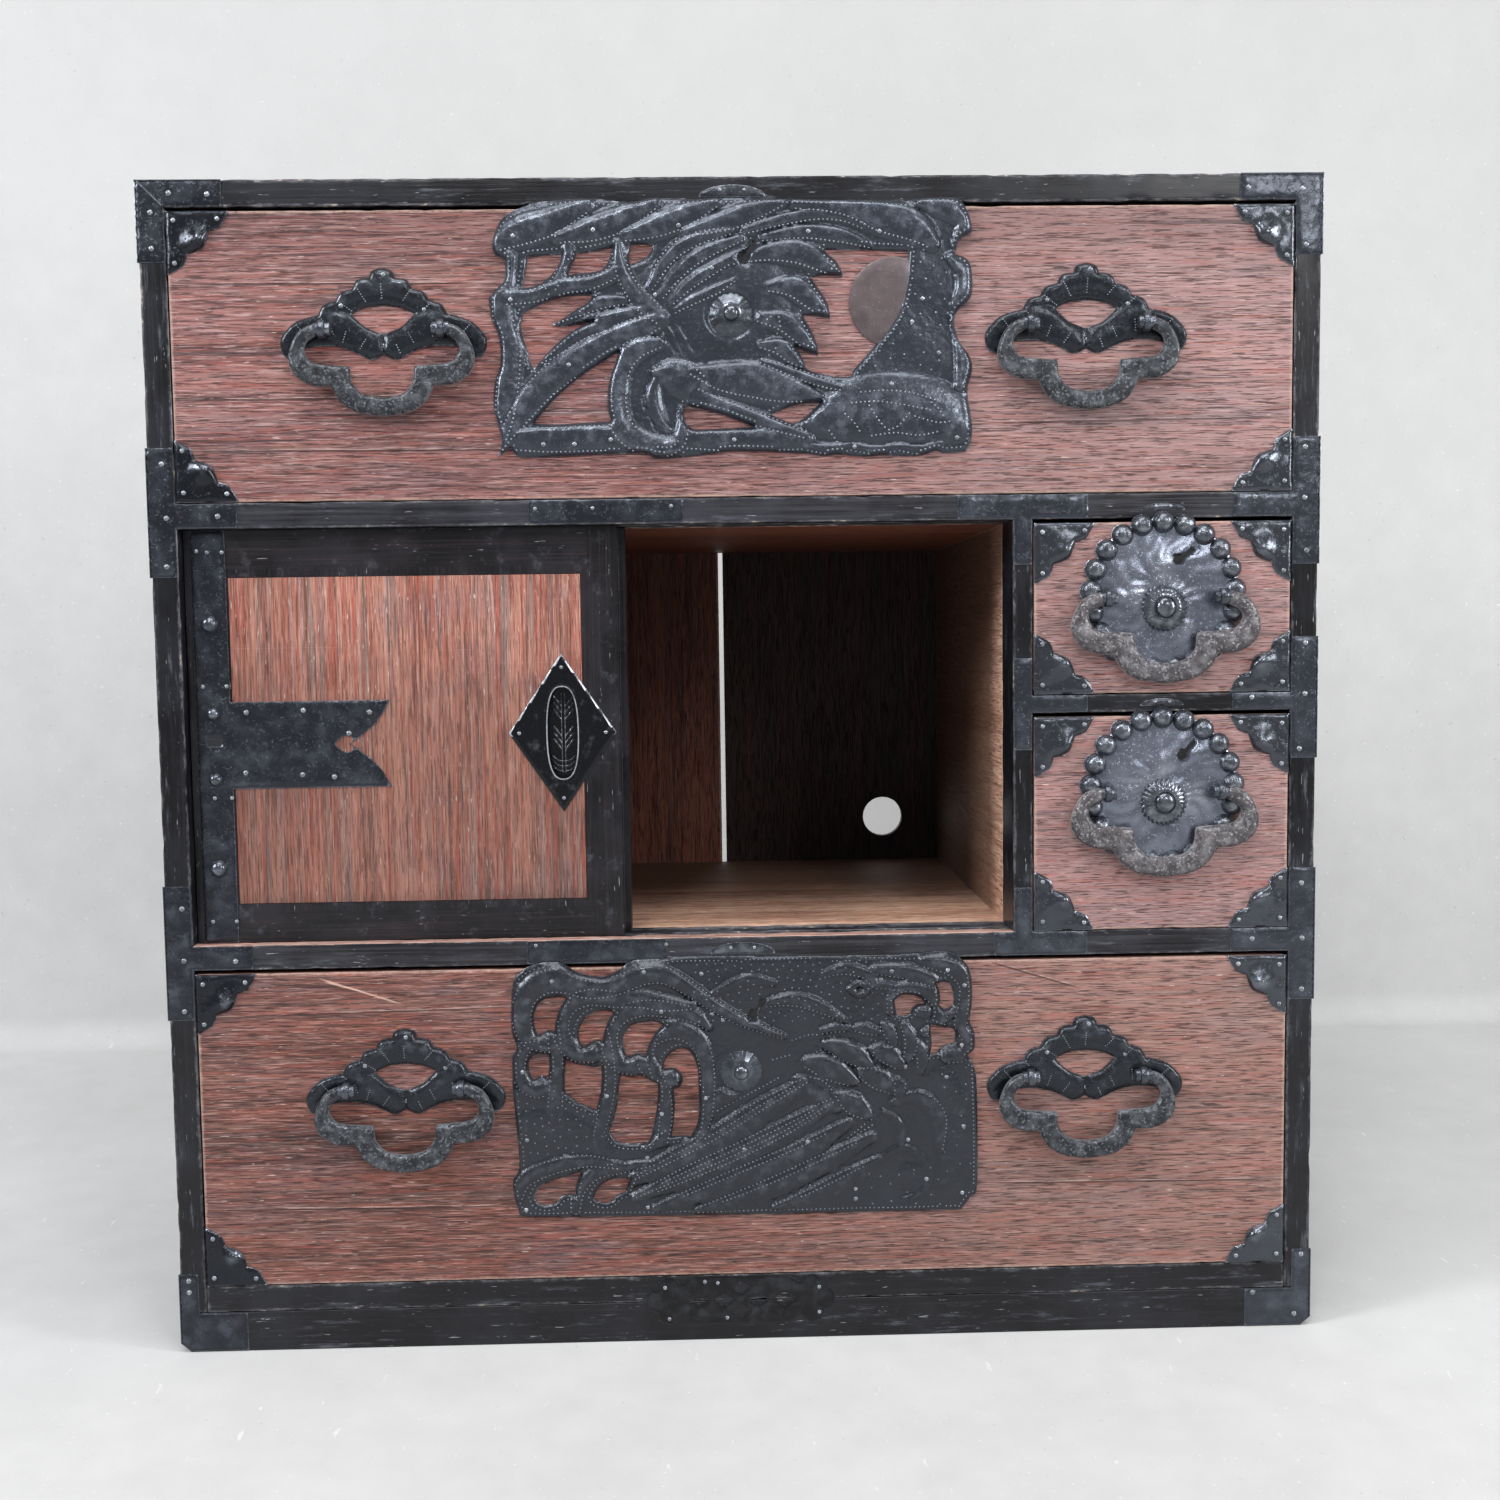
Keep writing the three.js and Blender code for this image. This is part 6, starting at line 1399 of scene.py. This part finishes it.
for door, face, middle in (("outer_door", OUTER_DOOR, -137), ("inner_door", INNER_DOOR, -370)):
    kept(door + "_frame", "lacquer_door", bevel=0.8, segments=3)
    kept(door + "_panel", "door", bevel=0.4)
    loops = [l for l in node_loops(door + "_strap", face - 1.2)
             if abs(size(l) - STUD_HOLE) > 2 and abs(size(l) - SMALL_STUD_HOLE) > 2]
    sheet(door + "_strap_relief", [outline_curve(l, 3.0, corner=25) for l in loops], pillow(0.7, 0.9, 2.5), "iron",
          face, step=3.2, thin=0.6, **wrought(door, door + "_strap"))
    pull(door, face, (middle, 476))

studs("door_domes", [(-401, OUTER_DOOR - 1.4, z, r) for z, r in ((562, 6.9), (376, 6.9), (494, 5.2), (444, 5.2))],
      bead_heads, "boss_iron", wrought("outer_door"))
door_spots = pairs([-409, 617, -401, 616, -390, 616, -408, 515, -390, 515, -402, 430, -389, 430, -407, 335, -389, 335])
tail_spots = pairs([-376, 495, -333, 496, -283, 494, -335, 447, -311, 445, -378, 449, -299, 478])
studs("door_nails", heads_at(door_spots, OUTER_DOOR - 1.55, 1.8) + heads_at(tail_spots, OUTER_DOOR - 1.55, 2.3),
      nail_heads, "nail", wrought("outer_door"))
# A near-black disc in the key slot: painted shade.
lathe("key_slot", [(9.0, 0.02), (9.0, 0.25), (2.0, 0.3)], (-400, 472), OUTER_DOOR, "hollow", sides=24,
      **wrought("outer_door"))


# Floor, wall and lights

COVE = 40       # the radius of the turn from the floor to the wall
slope = [(-6000.0, 0.0), (FLOOR_EDGE - COVE, 0.0)]
slope += [(FLOOR_EDGE - COVE + COVE * math.sin(t), COVE - COVE * math.cos(t)) for t in
          [math.radians(15 * k) for k in range(1, 7)]] + [(FLOOR_EDGE, 6000.0)]
backdrop = piece("backdrop", [(x, y, z) for y, z in slope for x in (-7000.0, 7000.0)],
                 [(2 * j, 2 * j + 1, 2 * j + 3, 2 * j + 2) for j in range(len(slope) - 1)], "cement", crease=60)


def lamp(name, place, aim, sides, power, shade=(1, 1, 1)):
    data = bpy.data.lights.new(name, "AREA")
    data.shape = "RECTANGLE"
    data.size, data.size_y = sides[0] * MM, sides[1] * MM
    data.energy = power
    data.color = shade
    made = bpy.data.objects.new(name, data)
    made.location = Vector(place) * MM
    made.rotation_euler = (Vector(aim) * MM - made.location).to_track_quat("-Z", "Y").to_euler()
    scene.collection.objects.link(made)


lamp("ceiling", (0, -1000, 2900), (0, -100, 300), (2200, 1200), 49)
lamp("left window", (-2500, -1400, 1900), (0, 0, 450), (700, 1100), 62, (0.97, 0.98, 1.0))
lamp("right window", (2500, -1200, 1300), (0, 0, 450), (500, 1300), 42)
lamp("near window", (1250, -2700, 1800), (0, 0, 450), (500, 800), 15)
lamp("high spot", (-600, -2300, 2500), (0, 0, 450), (420, 420), 16)

world = bpy.data.worlds.new("room")
world.use_nodes = True
scene.world = world
world.node_tree.nodes["Background"].inputs["Color"].default_value = (0.86, 0.88, 0.9, 1)
world.node_tree.nodes["Background"].inputs["Strength"].default_value = 0.36
